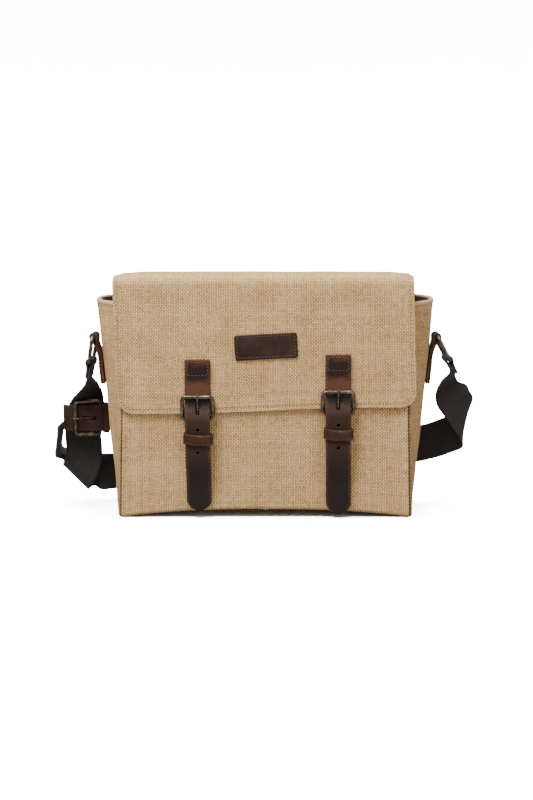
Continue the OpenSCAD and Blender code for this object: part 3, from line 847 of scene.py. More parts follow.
def bag_shell(name, outer, inner, low_outer, low_inner, relief, material):
    """A closed bag: up the outside, over the mouth and down the inside."""
    rows = []
    heights = []
    outside = [crowd(k / 64, 0.5) for k in range(65)]
    for k, row in enumerate(floor_rows(outer + BASE_ROUND, 9, low_outer)):
        rows.append(row)
        heights.append(-45 + 5 * k)
    for angle in (0, 22, 45, 67):
        turn = math.radians(angle)
        inset = outer + BASE_ROUND * (1 - math.sin(turn))
        row, _ = wall_row(0, inset, relief * angle / 90)
        rise = low_outer + BASE_ROUND * (1 - math.cos(turn))
        rows.append([p + Vector((0, 0, rise)) for p in row])
        heights.append(rise)
    start = (low_outer + BASE_ROUND) / BODY_TOP
    for t in outside:
        s = mix(start, 1, t)
        row, _ = wall_row(s, outer, relief)
        rows.append(row)
        heights.append(s * BODY_TOP)
    for t in range(13):
        s = mix(1, (low_inner + BASE_ROUND) / BODY_TOP, t / 12)
        row, _ = wall_row(s, inner, 0)
        rows.append(row)
        heights.append(2 * BODY_TOP - s * BODY_TOP)
    for k, row in enumerate(reversed(floor_rows(inner + 1, 6, low_inner))):
        rows.append(row)
        heights.append(2 * BODY_TOP + 10 + 7 * k)
    _, total = wall_row(0.5, outer, 0)
    uv_rows = ring_map(total, heights)
    dark = seam_shade()
    # painted shade and dirt in the seam grooves, on the outer wall only
    wear_and_shade = [[c * relief if 0 <= v < BODY_TOP else 0.0 for c in dark] for v in heights]
    return grid_object(name, rows, uv_rows, material, wear_and_shade, loop=True, caps=False)


def build_body():
    body = bag_shell("body_canvas", 0, CANVAS_T, low_outer=0.2, low_inner=2.3, relief=1.0, material=CANVAS)
    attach(body, "root")
    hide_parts("front_panel", "back_panel", "left_gusset", "right_gusset", "bottom_panel")
    lining = bag_shell("lining_bag", 4.0, 4.8, low_outer=4.9, low_inner=5.7, relief=0, material=LINING)
    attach(lining, "root")
    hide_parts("lining")


def build_board():
    """The stiff board in the bottom, bent like the underside."""
    edge, _ = wall_row(0.02, 5.0, 0)
    rows = []
    profile = ((0.02, 2.7), (0.5, 2.7), (0.9, 2.7), (0.985, 2.7), (1, 3.1))
    profile += ((1, 4.2), (0.985, 4.6), (0.5, 4.6), (0.02, 4.6))
    for scale, rise in profile:
        row = []
        for p in edge:
            x = p.x * mix(0.7, 1, scale)
            y = p.y * scale
            row.append(Vector((x, y, rise + arch(x, y))))
        rows.append(row)
    uv_rows = [[(p.x, p.y) for p in row] + [(row[0].x, row[0].y)] for row in rows]
    board = grid_object("base_board_bent", rows, uv_rows, BOARD, loop=True, caps=False)
    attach(board, "root")
    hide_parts("base_board")


def build_binding():
    """Folded edge round the mouth, with its stitch line on the canvas below."""
    outline = ((-0.6, 215.0), (-0.8, 216.2), (-0.6, 217.5), (0.2, 218.3), (1.7, 218.5), (3.2, 218.2))
    outline += ((3.9, 217.4), (4.0, 216.4), (3.6, 215.8), (2.6, 215.4), (1.2, 215.2))
    rows = []
    for inset, z in outline:
        row, total = wall_row(1, inset, 0.35)
        rows.append([Vector((p.x, p.y, z + rim_lift(p.y, 1) + 0.35 * ripple(p, 40, 4))) for p in row])
    uv_rows = ring_map(total, [2.2 * k for k in range(len(outline) + 1)])
    rim = grid_object("mouth_binding_fold", rows, uv_rows, BINDING, loop=True, ring=True)
    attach(rim, "root")
    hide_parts("mouth_binding")
    row, _ = wall_row(0.972, 0, 1.0)
    line = []
    for i, (_, out) in enumerate(plan(0.972, 0)):
        line.append((row[i] + Vector((out.x, out.y, 0)) * 0.05, Vector((out.x, out.y, 0))))
    sewn = stitches("mouth_stitches", [line], THREAD, pitch=3.6)
    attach(sewn, "root")


# ---------- flap ----------

FLAP_TOP = box("flap_top")
FLAP_FRONT = box("flap_front")
ANCHOR = box("flap_anchor")
FLAP_BACK_Y = FLAP_TOP[1].y
FLAP_FRONT_Y = FLAP_FRONT[0].y
CROWN = FLAP_TOP[1].z
BEND_R = 12.0
BEND_Z = CROWN - BEND_R
ANCHOR_Z = ANCHOR[0].z
QUARTER = BEND_R * math.pi / 2
T_BACK = BEND_Z - ANCHOR_Z
T_OVER = T_BACK + QUARTER
T_BEND = T_OVER + (FLAP_BACK_Y - FLAP_FRONT_Y - 2 * BEND_R)
T_FRONT = T_BEND + QUARTER
T_MEET = T_OVER + 38
LOW_LEFT = FLAP_FRONT[0].z
LOW_RIGHT = LOW_LEFT + 8
DROP = BEND_Z - (LOW_LEFT + LOW_RIGHT) / 2
T_END = T_FRONT + DROP
FLAP_HALF = FLAP_TOP[1].x
FLAP_CORNER = 15.0
FLAP_T = 2.2
HEM_STITCH = 3.2
LINING_DEPTH = 2.3
LINING_T = 0.7
LINING_INSET = 2
PATCH_W = 62
PATCH_H = 25
PATCH_TILT = 3


def flap_profile(t):
    """Place and outward direction (y, z, ny, nz) of the flap's outer face, t from its sewn edge."""
    if t < T_BACK:
        return FLAP_BACK_Y, ANCHOR_Z + t, 1.0, 0.0
    if t < T_OVER:
        a = (t - T_BACK) / BEND_R
        y = FLAP_BACK_Y - BEND_R + BEND_R * math.cos(a)
        return y, BEND_Z + BEND_R * math.sin(a), math.cos(a), math.sin(a)
    if t < T_BEND:
        return FLAP_BACK_Y - BEND_R - (t - T_OVER), CROWN, 0.0, 1.0
    if t < T_FRONT:
        a = (t - T_BEND) / BEND_R
        y = FLAP_FRONT_Y + BEND_R - BEND_R * math.sin(a)
        return y, BEND_Z + BEND_R * math.cos(a), -math.sin(a), math.cos(a)
    return FLAP_FRONT_Y, BEND_Z - (t - T_FRONT), -1.0, 0.0


def flap_shift(t):
    """Sideways place of the flap's middle line."""
    if t < T_FRONT:
        return -2 * ease((t - T_OVER) / (T_FRONT - T_OVER))
    return mix(-2, 2, (t - T_FRONT) / DROP)


def flap_half(t):
    """Half the flap's width at t, less round its lower corners."""
    h = T_END - t
    if h >= FLAP_CORNER:
        return FLAP_HALF
    return FLAP_HALF - FLAP_CORNER + math.sqrt(max(0.0, FLAP_CORNER**2 - (FLAP_CORNER - h) ** 2))


def edge_distance(x, t):
    """Distance in the cloth from the flap's side and lower edges."""
    dx = FLAP_HALF - abs(x - flap_shift(t))
    h = T_END - t
    if dx < FLAP_CORNER and h < FLAP_CORNER:
        return FLAP_CORNER - math.hypot(FLAP_CORNER - dx, FLAP_CORNER - h)
    return min(dx, h)


def flap_at(x, t, lift=0.0):
    """Point of the flap at x and t, lift above its outer face, with the outward direction."""
    y, z, ny, nz = flap_profile(t)
    out = Vector((0, ny, nz))
    if t > T_FRONT:
        w = (t - T_FRONT) / DROP
        low = mix(LOW_LEFT, LOW_RIGHT, (x + FLAP_HALF) / (2 * FLAP_HALF)) + 0.8 * math.sin(x / 38)
        z = mix(BEND_Z, low, w)
    edge = edge_distance(x, t)
    hem = 0.5 * ease((7.5 - edge) / 1.6) - 0.55 * hill(edge - HEM_STITCH, 1.1)
    wave = 0.55 * ripple((x, t, 0), 58, 11) + 0.28 * ripple((x, 0.7 * t, 0), 24, 12)
    soft = -0.5 + wave * ease(edge / 12)
    shoulder = -1.7 * ease((abs(x) - 128) / 20) - 0.4 * ease(abs(x) / 148)
    p = Vector((x, y, z + shoulder * max(nz, 0.0) * ease((T_FRONT - t) / 8)))
    return p + out * (hem + soft + lift), out


def flap_cloth(name, t_start, t_end, depth, thick, inset, material, square_start, square_end):
    """A thick piece of the flap between two lengths, its outer face at a depth under the flap's."""
    columns = [crowd(k / 120, 0.65) * 2 - 1 for k in range(121)]
    far = T_END - inset
    stops = []
    span = min(t_end, far) - t_start
    count = round(span / 2.4)
    for k in range(count + 1):
        t = t_start + span * k / count
        if t < far - 16:
            stops.append(t)
    if t_end >= far:
        stops += [far - 15 * (1 - math.sin(math.radians(a))) for a in range(0, 91, 6)]
    elif stops[-1] < t_end - 0.01:
        stops.append(t_end)
    outer = []
    under = []
    for t in stops:
        half = flap_half(min(t + inset, T_END)) - inset
        a = []
        b = []
        for u in columns:
            x = flap_shift(t) + u * half
            p, out = flap_at(x, t, -depth)
            a.append(p)
            b.append(p - out * thick)
        outer.append(a)
        under.append(b)
    rows = []
    uv_rows = []
    wear_and_shade = []
    bulge = thick * 0.3
    for a, b, t in zip(outer, under, stops):
        right = (a[-1] + b[-1]) / 2 + (a[-1] - a[-2]).normalized() * bulge
        left = (a[0] + b[0]) / 2 + (a[0] - a[1]).normalized() * bulge
        rows.append(a + [right] + b[::-1] + [left])
        uv = [(p.x, t) for p in a]
        back = [(p.x, t) for p in b[::-1]]
        uv_rows.append(uv + [(right.x + 1, t)] + back + [(left.x - 1, t), uv[0]])
        # painted shade and dirt in the groove of the hem's stitch line, away from the sewn back edge
        dark = [0.55 * hill(edge_distance(p.x, t) - HEM_STITCH, 0.9) if t > 14 else 0.0 for p in a]
        wear_and_shade.append(dark + [0.0] * (len(b) + 2))
    for at_end, square in ((False, square_start), (True, square_end)):
        i = -1 if at_end else 0
        j = -2 if at_end else 1
        n = len(columns)
        row = rows[i]
        ahead = (row[n // 2] - rows[j][n // 2]).normalized() * (0.0 if square else bulge)
        middle = [(row[k] + row[2 * n - k]) / 2 + ahead for k in range(n)]
        closing = middle + [row[n] + ahead] + middle[::-1] + [row[-1] + ahead]
        rows.insert(0 if not at_end else len(rows), closing)
        uv_rows.insert(0 if not at_end else len(uv_rows), uv_rows[i])
        wear_and_shade.insert(0 if not at_end else len(wear_and_shade), [0.0] * len(row))
    return grid_object(name, rows, uv_rows, material, wear_and_shade, loop=True, caps=False, crease=50)


def flap_line(points):
    return [flap_at(x, t, 0.02) for x, t in points]


def edge_line(inset, t_start, t_end, side):
    """The line inset from one side edge of the flap, from t_start to t_end."""
    count = max(2, round((t_end - t_start) / 1.5))
    stops = [t_start + (t_end - t_start) * k / count for k in range(count + 1)]
    return [(flap_shift(t) + side * (FLAP_HALF - inset), t) for t in stops]


def corner_line(inset, side, rising):
    """The line inset round a lower corner of the flap."""
    r = FLAP_CORNER - inset
    turns = [90 * k / 14 for k in range(15)]
    if rising:
        turns.reverse()
    line = []
    for a in turns:
        angle = math.radians(a)
        t = T_END - FLAP_CORNER + r * math.sin(angle)
        x = flap_shift(t) + side * (FLAP_HALF - FLAP_CORNER + r * math.cos(angle))
        line.append((x, t))
    return line


def build_flap():
    top = flap_cloth("flap_top_canvas", 0.5, T_MEET, 0, FLAP_T, 0, CANVAS, False, True)
    front = flap_cloth("flap_front_canvas", T_MEET, T_END, 0, FLAP_T, 0, CANVAS, True, False)
    start = T_BACK - 5
    thin = (LINING_DEPTH, LINING_T, LINING_INSET, LINING)
    top_lining = flap_cloth("flap_top_lining_cloth", start, T_MEET, *thin, False, True)
    end = T_END - LINING_INSET
    front_lining = flap_cloth("flap_front_lining_cloth", T_MEET, end, *thin, True, False)
    back_edge = 14
    over = edge_line(HEM_STITCH, back_edge, T_MEET - 0.5, LEFT)
    over_right = edge_line(HEM_STITCH, back_edge, T_MEET - 0.5, RIGHT)
    across = [[(x, t) for x in range(-142, 143, 4)] for t in (3.5, 10)]
    lines = [flap_line(over), flap_line(over_right)] + [flap_line(row) for row in across]
    back_sewn = stitches("flap_back_stitches", lines, THREAD)
    down = edge_line(HEM_STITCH, T_MEET + 0.5, T_END - FLAP_CORNER, LEFT)
    low = [(x, T_END - HEM_STITCH) for x in range(-130, 135, 4)]
    up = edge_line(HEM_STITCH, T_MEET + 0.5, T_END - FLAP_CORNER, RIGHT)[::-1]
    border = down + corner_line(HEM_STITCH, LEFT, False) + low + corner_line(HEM_STITCH, RIGHT, True) + up
    front_sewn = stitches("flap_front_stitches", [flap_line(border)], THREAD)
    for piece in (top, top_lining, back_sewn):
        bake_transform(piece)
    for piece in (front, front_lining, front_sewn):
        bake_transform(piece)
    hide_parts("flap_anchor", "flap_top")
    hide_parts("flap_front")
    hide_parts("flap_top_lining")
    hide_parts("flap_front_lining")


def build_patch():
    low, high = box("label_patch")
    centre = (low + high) / 2
    tilt = math.radians(PATCH_TILT)
    matrix = shift(centre.x, high.y, centre.z) @ Matrix.Rotation(-tilt, 4, "Y")
    profile = ((0.2, -0.4), (0, 0.2), (0, 1.1), (0.25, 1.6), (0.7, 1.85), (1.6, 1.9), (3.2, 1.75))
    profile += ((4.4, 1.95), (6, 2.05), (9, 2.15), (12.2, 2.2))

    def wave(x, z):
        return 0.12 * ripple((x, z, 0), 16, 21)

    patch = plate("label_patch_leather", matrix, PATCH_W, PATCH_H, 2.2, profile, PATCH, wave)
    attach(patch, "flap_drop")
    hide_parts("label_patch")
    a = PATCH_W / 2 - 2.4
    b = PATCH_H / 2 - 2.4
    out = matrix.to_3x3() @ Vector((0, -1, 0))

    def place(x, z):
        return matrix @ Vector((x, -1.86, z)), out

    lines = seam_lines([(-a, -b), (a, -b), (a, b), (-a, b), (-a, -b)], 24, place)
    sewn = stitches("label_patch_stitches", lines, DARK_THREAD, pitch=2.9, long=2.1, thick=0.65)
    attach(sewn, "flap_drop")


# ---------- closure straps ----------

STRAP_W = 25.0
STRAP_T = 2.9
HEAD_DROP = 18.7
HEAD_H = 18.0
WIRE_R = 2.0
HOLE_PITCH = 23.0
KEEPER_DROP = 41.5


def closure_numbers(side):
    """Middle of the strap, height of its tip bar, the heel bar's place and the strap's lower end."""
    name = SIDES[side]
    tail = box(name + "_strap_tail")
    x = (tail[0].x + tail[1].x) / 2
    bar = box(name + "_buckle_frame")[1].z - WIRE_R
    heel = joint_place(name + "_prong_lift")
    return x, bar, heel, tail[0].z


def yz_stations(x, stops, step):
    samples = curve([[0.0, y, z] for y, z in stops], step)
    points = [Vector((x, p[1], p[2])) for p in samples]
    return points, [Vector((1, 0, 0))] * len(points)


def build_strap(side):
    name = SIDES[side]
    x, bar, heel, tip = closure_numbers(side)
    face = box(name + "_strap_head")[1].y
    mid = face - 1.5
    over = heel.y - 3.7 - 0.1 - 1.5
    stops = [
        (mid, bar + HEAD_DROP + HEAD_H - 0.8),
        (mid, bar + 30),
        (mid, bar + 18),
        (mid, bar + 7),
        (mid - 0.5, bar),
        (mid - 1.1, bar - 5),
        (mid - 2.6, bar - 11),
        (over + 1.4, bar - 17),
        (over, bar - 22),
        (over + 0.2, bar - 28),
        (over + 2.4, bar - KEEPER_DROP),
        (over + 2.7, bar - 63),
        (-51.5, 34),
        (-50.1, tip + 0.7),
    ]
    points, across = yz_stations(x, stops, 1.1)
    r = STRAP_W / 2
    lean = 1.2 if side == LEFT else 1.0
    taper = []
    for p in points:
        share = ease((bar - 20 - p.z) / 100)
        p.x += lean * share
        d = p.z - tip
        taper.append(STRAP_W if d >= r else max(2 * math.sqrt(max(r * r - (r - d) ** 2, 0.2)), 1.2))
    length = path_lengths(points)
    hole_heights = [bar - 9.5 - HOLE_PITCH * i for i in (1, 2)]

    def relief(a, s, w):
        k = min(range(len(length)), key=lambda i: abs(length[i] - s)) if s > 0 else 0
        z = points[k].z
        dent = sum(-0.35 * hill(math.hypot(a, z - h), 3.0) for h in hole_heights)
        groove = -0.18 * hill(w / 2 - abs(a) - 2.2, 0.5) if s > 20 else 0.0
        return dent + groove + 0.12 * ripple((a, s, 0), 18, 31 + side)

    look = strap_look(name + "_strap_leather", length[-1])
    strap = band(
        name + "_closure_strap", points, across, STRAP_W, STRAP_T, look, 0.9, taper=taper, relief=relief
    )
    cutters = [round_cutter((x + 0.3, over, z), (0, 1, 0), 1.6, 14) for z in hole_heights]
    slot_place = shift(x, mid - 2.5, bar - 12.5)
    cutters.append(slot_cutter(slot_place, (3.6, 14, 10)))
    cut(strap, cutters)
    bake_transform(strap)
    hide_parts(name + "_strap_head", name + "_strap_tail")
    out = Vector((0, -1, 0))
    y = mid - STRAP_T / 2 - 0.02
    a = r - 2.6
    low = bar + HEAD_DROP + 2.4
    high = bar + HEAD_DROP + HEAD_H - 2.8

    def place(across, height):
        return Vector((x + across, y, height)), out

    lines = seam_lines([(-a, high), (-a, low), (a, low), (a, high), (-a, high)], 12, place)
    sewn = stitches(name + "_strap_stitches", lines, DARK_THREAD, pitch=2.9, long=2.1, thick=0.7)
    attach(sewn, "flap_drop")


def ring_around(centre, start, end, r, steps):
    """Arc in the YZ plane from one angle to another, in degrees."""
    angles = [math.radians(mix(start, end, k / steps)) for k in range(steps + 1)]
    return [(centre[0] + r * math.cos(a), centre[1] + r * math.sin(a)) for a in angles]


def build_chape(side):
    """Leather loop behind the strap that holds the buckle and the snap stud."""
    name = SIDES[side]
    x, _, heel, _ = closure_numbers(side)
    back = heel.y + 1.5
    front = heel.y - 0.15
    stops = [(back, heel.z - 39.4), (back, heel.z - 20), (back + 0.2, heel.z - 6)]
    stops += ring_around((heel.y, heel.z), -5, 185, 2.95, 8)
    stops += [(front, heel.z - 6), (front, heel.z - 20), (front, heel.z - 39.4)]
    points, across = yz_stations(x, stops, 1.0)
    chape = band(name + "_chape_leather", points, across, 24, 1.55, LEATHER, 0.6)
    place = shift(x, heel.y, heel.z)
    cut(chape, [slot_cutter(place, (5, 14, 9.6))])
    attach(chape, name + "_closure")
    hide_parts(name + "_chape")


def leather_loop(name, matrix, half_a, half_b, corner, thick, width, bow, material):
    """A keeper: a band bent round a rounded rectangle in the matrix's XY plane, its width along Z."""
    points = []
    across = []
    up = (matrix.to_3x3() @ Vector((0, 0, 1))).normalized()
    for a, b in loop_points(half_a, half_b, corner):
        drop = bow * (1 - (a / half_a) ** 2) * (1 if b < 0 else 0)
        points.append(matrix @ Vector((a, b, -drop)))
        across.append(up)
    return band(name, points, across, width, thick, material, 0.6, loop=True)


def build_keeper(side):
    name = SIDES[side]
    low, high = box(name + "_keeper")
    centre = (low + high) / 2
    half = (high - low) / 2
    tilt = math.radians(3.5 if side == LEFT else 2.5)
    matrix = Matrix.Translation(centre + Vector((0.4, 0, 0))) @ Matrix.Rotation(tilt, 4, "Y")
    half_a = half.x - 0.9
    keeper = leather_loop(name + "_keeper_loop", matrix, half_a, half.y - 0.8, 2.2, 1.7, 10.5, 1.6, TAN)
    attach(keeper, name + "_closure")
    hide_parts(name + "_keeper")


def prong_pieces(name, matrix, stops, body, node):
    """A tapered prong and its eye round the heel bar, in the matrix's XY plane with Z across."""
    samples = curve([[a, b, 0.0] for a, b in stops], 0.8)
    points = [matrix @ Vector(p) for p in samples]
    up = (matrix.to_3x3() @ Vector((0, 0, 1))).normalized()
    length = path_lengths(points)
    taper = [mix(2.6, 1.9, ease(s / length[-1])) for s in length]
    prong = band(name, points, [up] * len(points), 2.6, 1.9, PRONG_METAL, 0.9, taper=taper)
    eye_points = []
    for k in range(24):
        angle = math.radians(15 * k)
        eye_points.append(matrix @ Vector((2.75 * math.cos(angle), 2.75 * math.sin(angle), 0)))
    eye = band(name + "_eye", eye_points, [up] * 24, 2.6, 1.25, PRONG_METAL, 0.45, loop=True)
    for piece in (prong, eye):
        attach(piece, body)
    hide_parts(node)


def build_closure_prong(side):
    name = SIDES[side]
    x, _, heel, _ = closure_numbers(side)
    matrix = Matrix(((0, 0, 1, x), (1, 0, 0, heel.y), (0, 1, 0, heel.z), (0, 0, 0, 1)))
    stops = [(-0.4, 2.8), (-0.95, 8), (-1.65, 11.6), (-3.6, 15.4), (-6.1, 19), (-6.45, 22), (-6.35, 24.6)]
    prong_pieces(name + "_prong_pin", matrix, stops, name + "_prong", name + "_buckle_prong")


# ---------- side tabs, rings and shoulder strap ----------

TAB_W = 27.0
TAB_LOW = 131.0
RING_H = 26.0
WEB_W = 38.0
WEB_T = 2.1
LEAN = {LEFT: 8.0, RIGHT: 27.0}


def fold_x(z):
    return FOLD_TOP - FOLD_SPREAD * (1 - z / BODY_TOP)


def build_tab(side):
    """Leather tab sewn to the side fold and turned round the ring's upper bar."""
    name = SIDES[side]
    pivot = joint_place(name + "_ring_swing")
    x = abs(pivot.x)
    z = pivot.z
    foot = Vector((fold_x(160) + 2.6, 160))
    bar = Vector((x, z))
    rise = (bar - foot).normalized()
    out = Vector((rise.y, -rise.x))
    near = bar - rise * 5.2
    slope = math.degrees(math.atan2(-out.y, -out.x))
    inner = [(fold_x(TAB_LOW) + 1.5, TAB_LOW + 0.8), (fold_x(148) + 1.5, 148)]
    inner += [tuple(foot - out * 1.07), tuple(near - out * 1.5)]
    loop = ring_around((x, z), slope + 8, slope - 188, 3.2, 9)
    outer = [tuple(near + out * 1.5), tuple(foot + out * 1.1)]
    outer += [(fold_x(148) + 3.7, 148), (fold_x(TAB_LOW) + 3.7, TAB_LOW + 0.8)]
    samples = curve([[a, 0.0, b] for a, b in inner + loop + outer], 1.1)
    points = [Vector((side * p[0], 0, p[2])) for p in samples]
    across = [Vector((0, 1, 0))] * len(points)
    tab = band(name + "_tab_leather", points, across, TAB_W, 2.1, TAN, 0.7)
    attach(tab, "root")
    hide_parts(name + "_side_tab")
    face = Vector((side, 0, 0.06))
    a = TAB_W / 2 - 2.5

    def place(y, z):
        return Vector((side * (fold_x(z) + 4.8), y, z)), face

    lines = seam_lines([(-a, 154), (-a, 134), (a, 134), (a, 154), (-a, 154)], 16, place)
    sewn = stitches(name + "_tab_stitches", lines, DARK_THREAD, pitch=3.1, long=2.2, thick=0.7)
    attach(sewn, "root")


def ring_frame(side):
    """Matrix of the hanging ring: its upper bar is at the origin along Y, X is outward."""
    pivot = joint_place(SIDES[side] + "_ring_swing")
    lean = math.radians(LEAN[side])
    down = Vector((side * math.sin(lean), 0, -math.cos(lean)))
    outward = Vector((side * math.cos(lean), 0, math.sin(lean)))
    axes = (outward, Vector((0, 1, 0)), -down)
    matrix = Matrix.Identity(4)
    for i, axis in enumerate(axes):
        for j in range(3):
            matrix[j][i] = axis[j]
        matrix[i][3] = pivot[i]
    return matrix


def build_webbing_end(side):
    """The webbing's sewn end, turned round the ring's lower bar."""
    name = SIDES[side]
    matrix = ring_frame(side)
    stops = [(-1.3, -15.4), (-1.3, -10), (-1.7, -5)]
    stops += ring_around((0, 0), 185, -5, 3.25, 9)
    stops += [(1.7, -5), (1.3, -10), (1.3, -15.4)]
    samples = curve([[a, 0.0, b] for a, b in stops], 0.9)
    points = [matrix @ Vector((p[0], 0, p[2] - RING_H)) for p in samples]
    across = [Vector((0, 1, 0))] * len(points)
    end = band(name + "_webbing_turn", points, across, WEB_W, WEB_T, WEBBING, 0.8)
    body = name + "_side_ring"
    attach(end, body)
    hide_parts(name + "_webbing_end")
    out = matrix.to_3x3() @ Vector((1, 0, 0))

    def place(y, drop):
        return matrix @ Vector((2.38, y, -RING_H - drop)), out

    lines = [seam_lines([(-17, drop), (17, drop)], 24, place)[0] for drop in (8, 13.5)]
    sewn = stitches(name + "_webbing_stitches", lines, DARK_THREAD, pitch=2.9, long=2.1, thick=0.7)
    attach(sewn, body)


SHORT_ROUTE = (
    ((-179.3, 1, 143), (0, 1, 0)),
    ((-181, 2, 135), (0, 1, 0.1)),
    ((-182.5, 9.5, 125), (0.45, 1, 0.2)),
    ((-184.5, 19.5, 114), (1, 0.8, 0.1)),
    ((-187, 25, 103), (1, 0.35, 0)),
    ((-189.5, 28, 90), (1, 0.15, 0)),
    ((-191, 31, 73), (1, 0, 0)),
    ((-190.5, 30.5, 50), (1, 0, 0)),
    ((-197, 31, 31), (1, 0, -1)),
    ((-199.5, 33, 28), (1, 0, -1)),
    ((-197, 35, 30), (1, 0, -1)),
    ((-176, 40, 31), (0.2, 0, -1)),
    ((-160, 50, 31), (0, 0, -1)),
    ((-140, 55, 31), (0, 0, -1)),
    ((-90, 55, 34), (0, 0, -1)),
    ((-62, 55, 42), (0.3, 0, -1)),
    ((-47, 56, 57), (0.8, 0, -0.7)),
    ((-48, 56, 75), (0.8, 0, 0.5)),
    ((-62, 57, 90), (0.3, 0, 1)),
    ((-88, 60, 96), (0, 0, 1)),
    ((-112, 63, 96), (0, 0, 1)),
    ((-137, 66, 93), (0, 0, 1)),
)
LONG_ROUTE = (
    ((-212, 13, 86), (0, 1, 0)),
    ((-213, 14, 74), (0, 1, 0)),
    ((-215.5, 22, 63), (0, 1, 0)),
    ((-215, 37, 54), (0.2, 1, 0)),
    ((-208.5, 43, 49), (0.58, 0.8, -0.05)),
    ((-199, 47, 44), (0.9, 0.5, -0.1)),
    ((-198.5, 42, 32), (1, 0.1, -0.8)),
    ((-200.5, 42, 28), (1, 0, -1)),
    ((-198, 44.5, 30), (1, 0, -1)),
    ((-177, 49, 31), (0.2, 0, -1)),
    ((-160, 57, 30), (0, 0, -1)),
    ((-140, 61, 31), (0, 0, -1)),
    ((-60, 62, 40), (0, 0, -1)),
    ((60, 60, 49), (0, 0, -1)),
    ((140, 56, 56), (0.1, 0, -1)),
    ((172, 46, 63), (0.35, 0, -0.95)),
    ((190, 36, 71), (0.38, 0, -0.92)),
    ((202, 28, 78), (0.25, 0, -1)),
    ((207.5, 20, 87), (-0.2, 0, -1)),
    ((204, 13, 99), (-0.55, -0.1, -0.8)),
    ((196, 8, 111), (-0.68, -0.1, -0.68)),
    ((190, 5, 122), (-0.75, 0.5, -0.42)),
    ((189.2, 2.5, 132), (-0.35, 0.93, -0.1)),
    ((191.6, 1, 139), (0, 1, 0)),
    ((189.4, 0, 147), (0, 1, 0)),
)


def webbing_strip(node, route):
    """A shoulder strap half that lies behind the bag and turns up to the ring on its side."""
    samples = curve([list(p) + list(Vector(a).normalized()) for p, a in route], 2.0)
    points = [Vector(s[:3]) for s in samples]
    across = [Vector(s[3:]).normalized() for s in samples]

    def relief(a, s, w):
        return 0.25 * hill(w / 2 - abs(a) - 1.2, 1.0) - 0.1

    strip = band(node + "_strip", points, across, WEB_W, WEB_T, WEBBING, 0.9, relief=relief)
    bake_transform(strip)
    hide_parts(node)
    length = path_lengths(points)[-1]


def build_webbing():
    webbing_strip("short_webbing", SHORT_ROUTE)
    webbing_strip("long_webbing", LONG_ROUTE)


BUCKLE_TURN = math.radians(18)
SHOULDER_BUCKLE_LEN = 26.0
BILLET_W = 27.0


def buckle_frame_matrix():
    """The shoulder buckle's own axes: tip bar at the origin, heel bar along X, bars along Z."""
    heel = joint_place("shoulder_prong_lift")
    along = Vector((math.cos(BUCKLE_TURN), math.sin(BUCKLE_TURN), 0))
    return Matrix.Translation(heel - along * SHOULDER_BUCKLE_LEN) @ Matrix.Rotation(BUCKLE_TURN, 4, "Z")


def local_stations(matrix, stops, step=1.0):
    samples = curve([[a, b, 0.0] for a, b in stops], step)
    points = [matrix @ Vector(p) for p in samples]
    return points, [Vector((0, 0, 1))] * len(points)


def build_shoulder_buckle():
    matrix = buckle_frame_matrix()
    stops = [
        (-8.5, 14.6),
        (-8, 9.5),
        (-6, 5.8),
        (-3, 4.1),
        (0, 3.8),
        (6, 2.4),
        (14, -1.6),
        (20, -4.6),
        (26, -5.6),
        (34, -3.6),
        (39.5, 2),
        (46, 11),
        (54, 24),
        (62, 31),
        (72, 32),
        (82.4, 29.4),
    ]
    points, across = local_stations(matrix, stops)

    def relief(a, s, w):
        return 0.15 * ripple((a, s, 0), 16, 41) - 0.15 * hill(w / 2 - abs(a) - 2.2, 0.5)

    billet = band("shoulder_billet_leather", points, across, BILLET_W, 2.8, LEATHER, 0.9, relief=relief)
    place = matrix @ shift(13.7, 0, 0)
    cut(billet, [slot_cutter(place, (13.5, 30, 3.6))])
    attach(billet, "root")
    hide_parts("shoulder_billet")
    bar = (SHOULDER_BUCKLE_LEN, 0)
    stops = [(72.4, 38.3), (60.3, 34.9), (50.8, 26.6), (42.6, 13.4), (36.3, 4.9), (31.8, 2.0)]
    stops += ring_around(bar, 20, 335, 2.95, 12)
    stops += [(32.6, -0.2), (37.5, 3.6), (43.9, 12.4), (51.9, 25.5), (60.8, 33.2), (72.8, 36.7)]
    points, across = local_stations(matrix, stops)
    chape = band("shoulder_chape_leather", points, across, BILLET_W, 1.5, LEATHER, 0.6)
    place = matrix @ shift(SHOULDER_BUCKLE_LEN, 0, 0)
    cut(chape, [slot_cutter(place, (9, 14, 5))])
    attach(chape, "root")
    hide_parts("shoulder_chape")
    place = matrix @ shift(31.75, -0.75, 0) @ Matrix.Rotation(math.radians(90), 4, "Y")
    keeper = leather_loop("shoulder_keeper_loop", place, 14.8, 6.9, 2.2, 1.7, 4.8, 0.3, LEATHER)
    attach(keeper, "root")
    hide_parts("shoulder_keeper")
    place = matrix @ shift(SHOULDER_BUCKLE_LEN, 0, 0)
    stops = [(-2.8, 0.1), (-9, -0.8), (-17, -1.8), (-23, -3.15), (-28.6, -3.4)]
    prong_pieces("shoulder_prong_pin", place, stops, "shoulder_prong", "shoulder_buckle_prong")


def build_hardware():
    """CAD nodes that stay: wire frames, rings and snaps."""
    names = ["left_buckle_frame", "right_buckle_frame", "shoulder_buckle_frame", "left_ring", "right_ring"]
    parts = ("_snap_stud", "_snap_socket", "_snap_washer")
    names += [side + part for side in ("left", "right") for part in parts]
    for name in names:
        node = NODES[name]
        node.data.materials.clear()
        node.data.materials.append(METAL)
        node.data.shade_smooth()
        node.data.set_sharp_from_angle(angle=math.radians(40))


# ---------- stage ----------


FLOOR_R = 1450
BOWL_R = 850
BOWL_TOP = 4200
SKY_POWER = 0.52


def floor_look(name, scale, dark, light):
    look = Look(name)
    colour = look.ramp(look.grain(look.place(), scale, 2), [dark, light])
    return look.finish(Base_Color=colour, Roughness=0.95, Specular_IOR_Level=0.1)


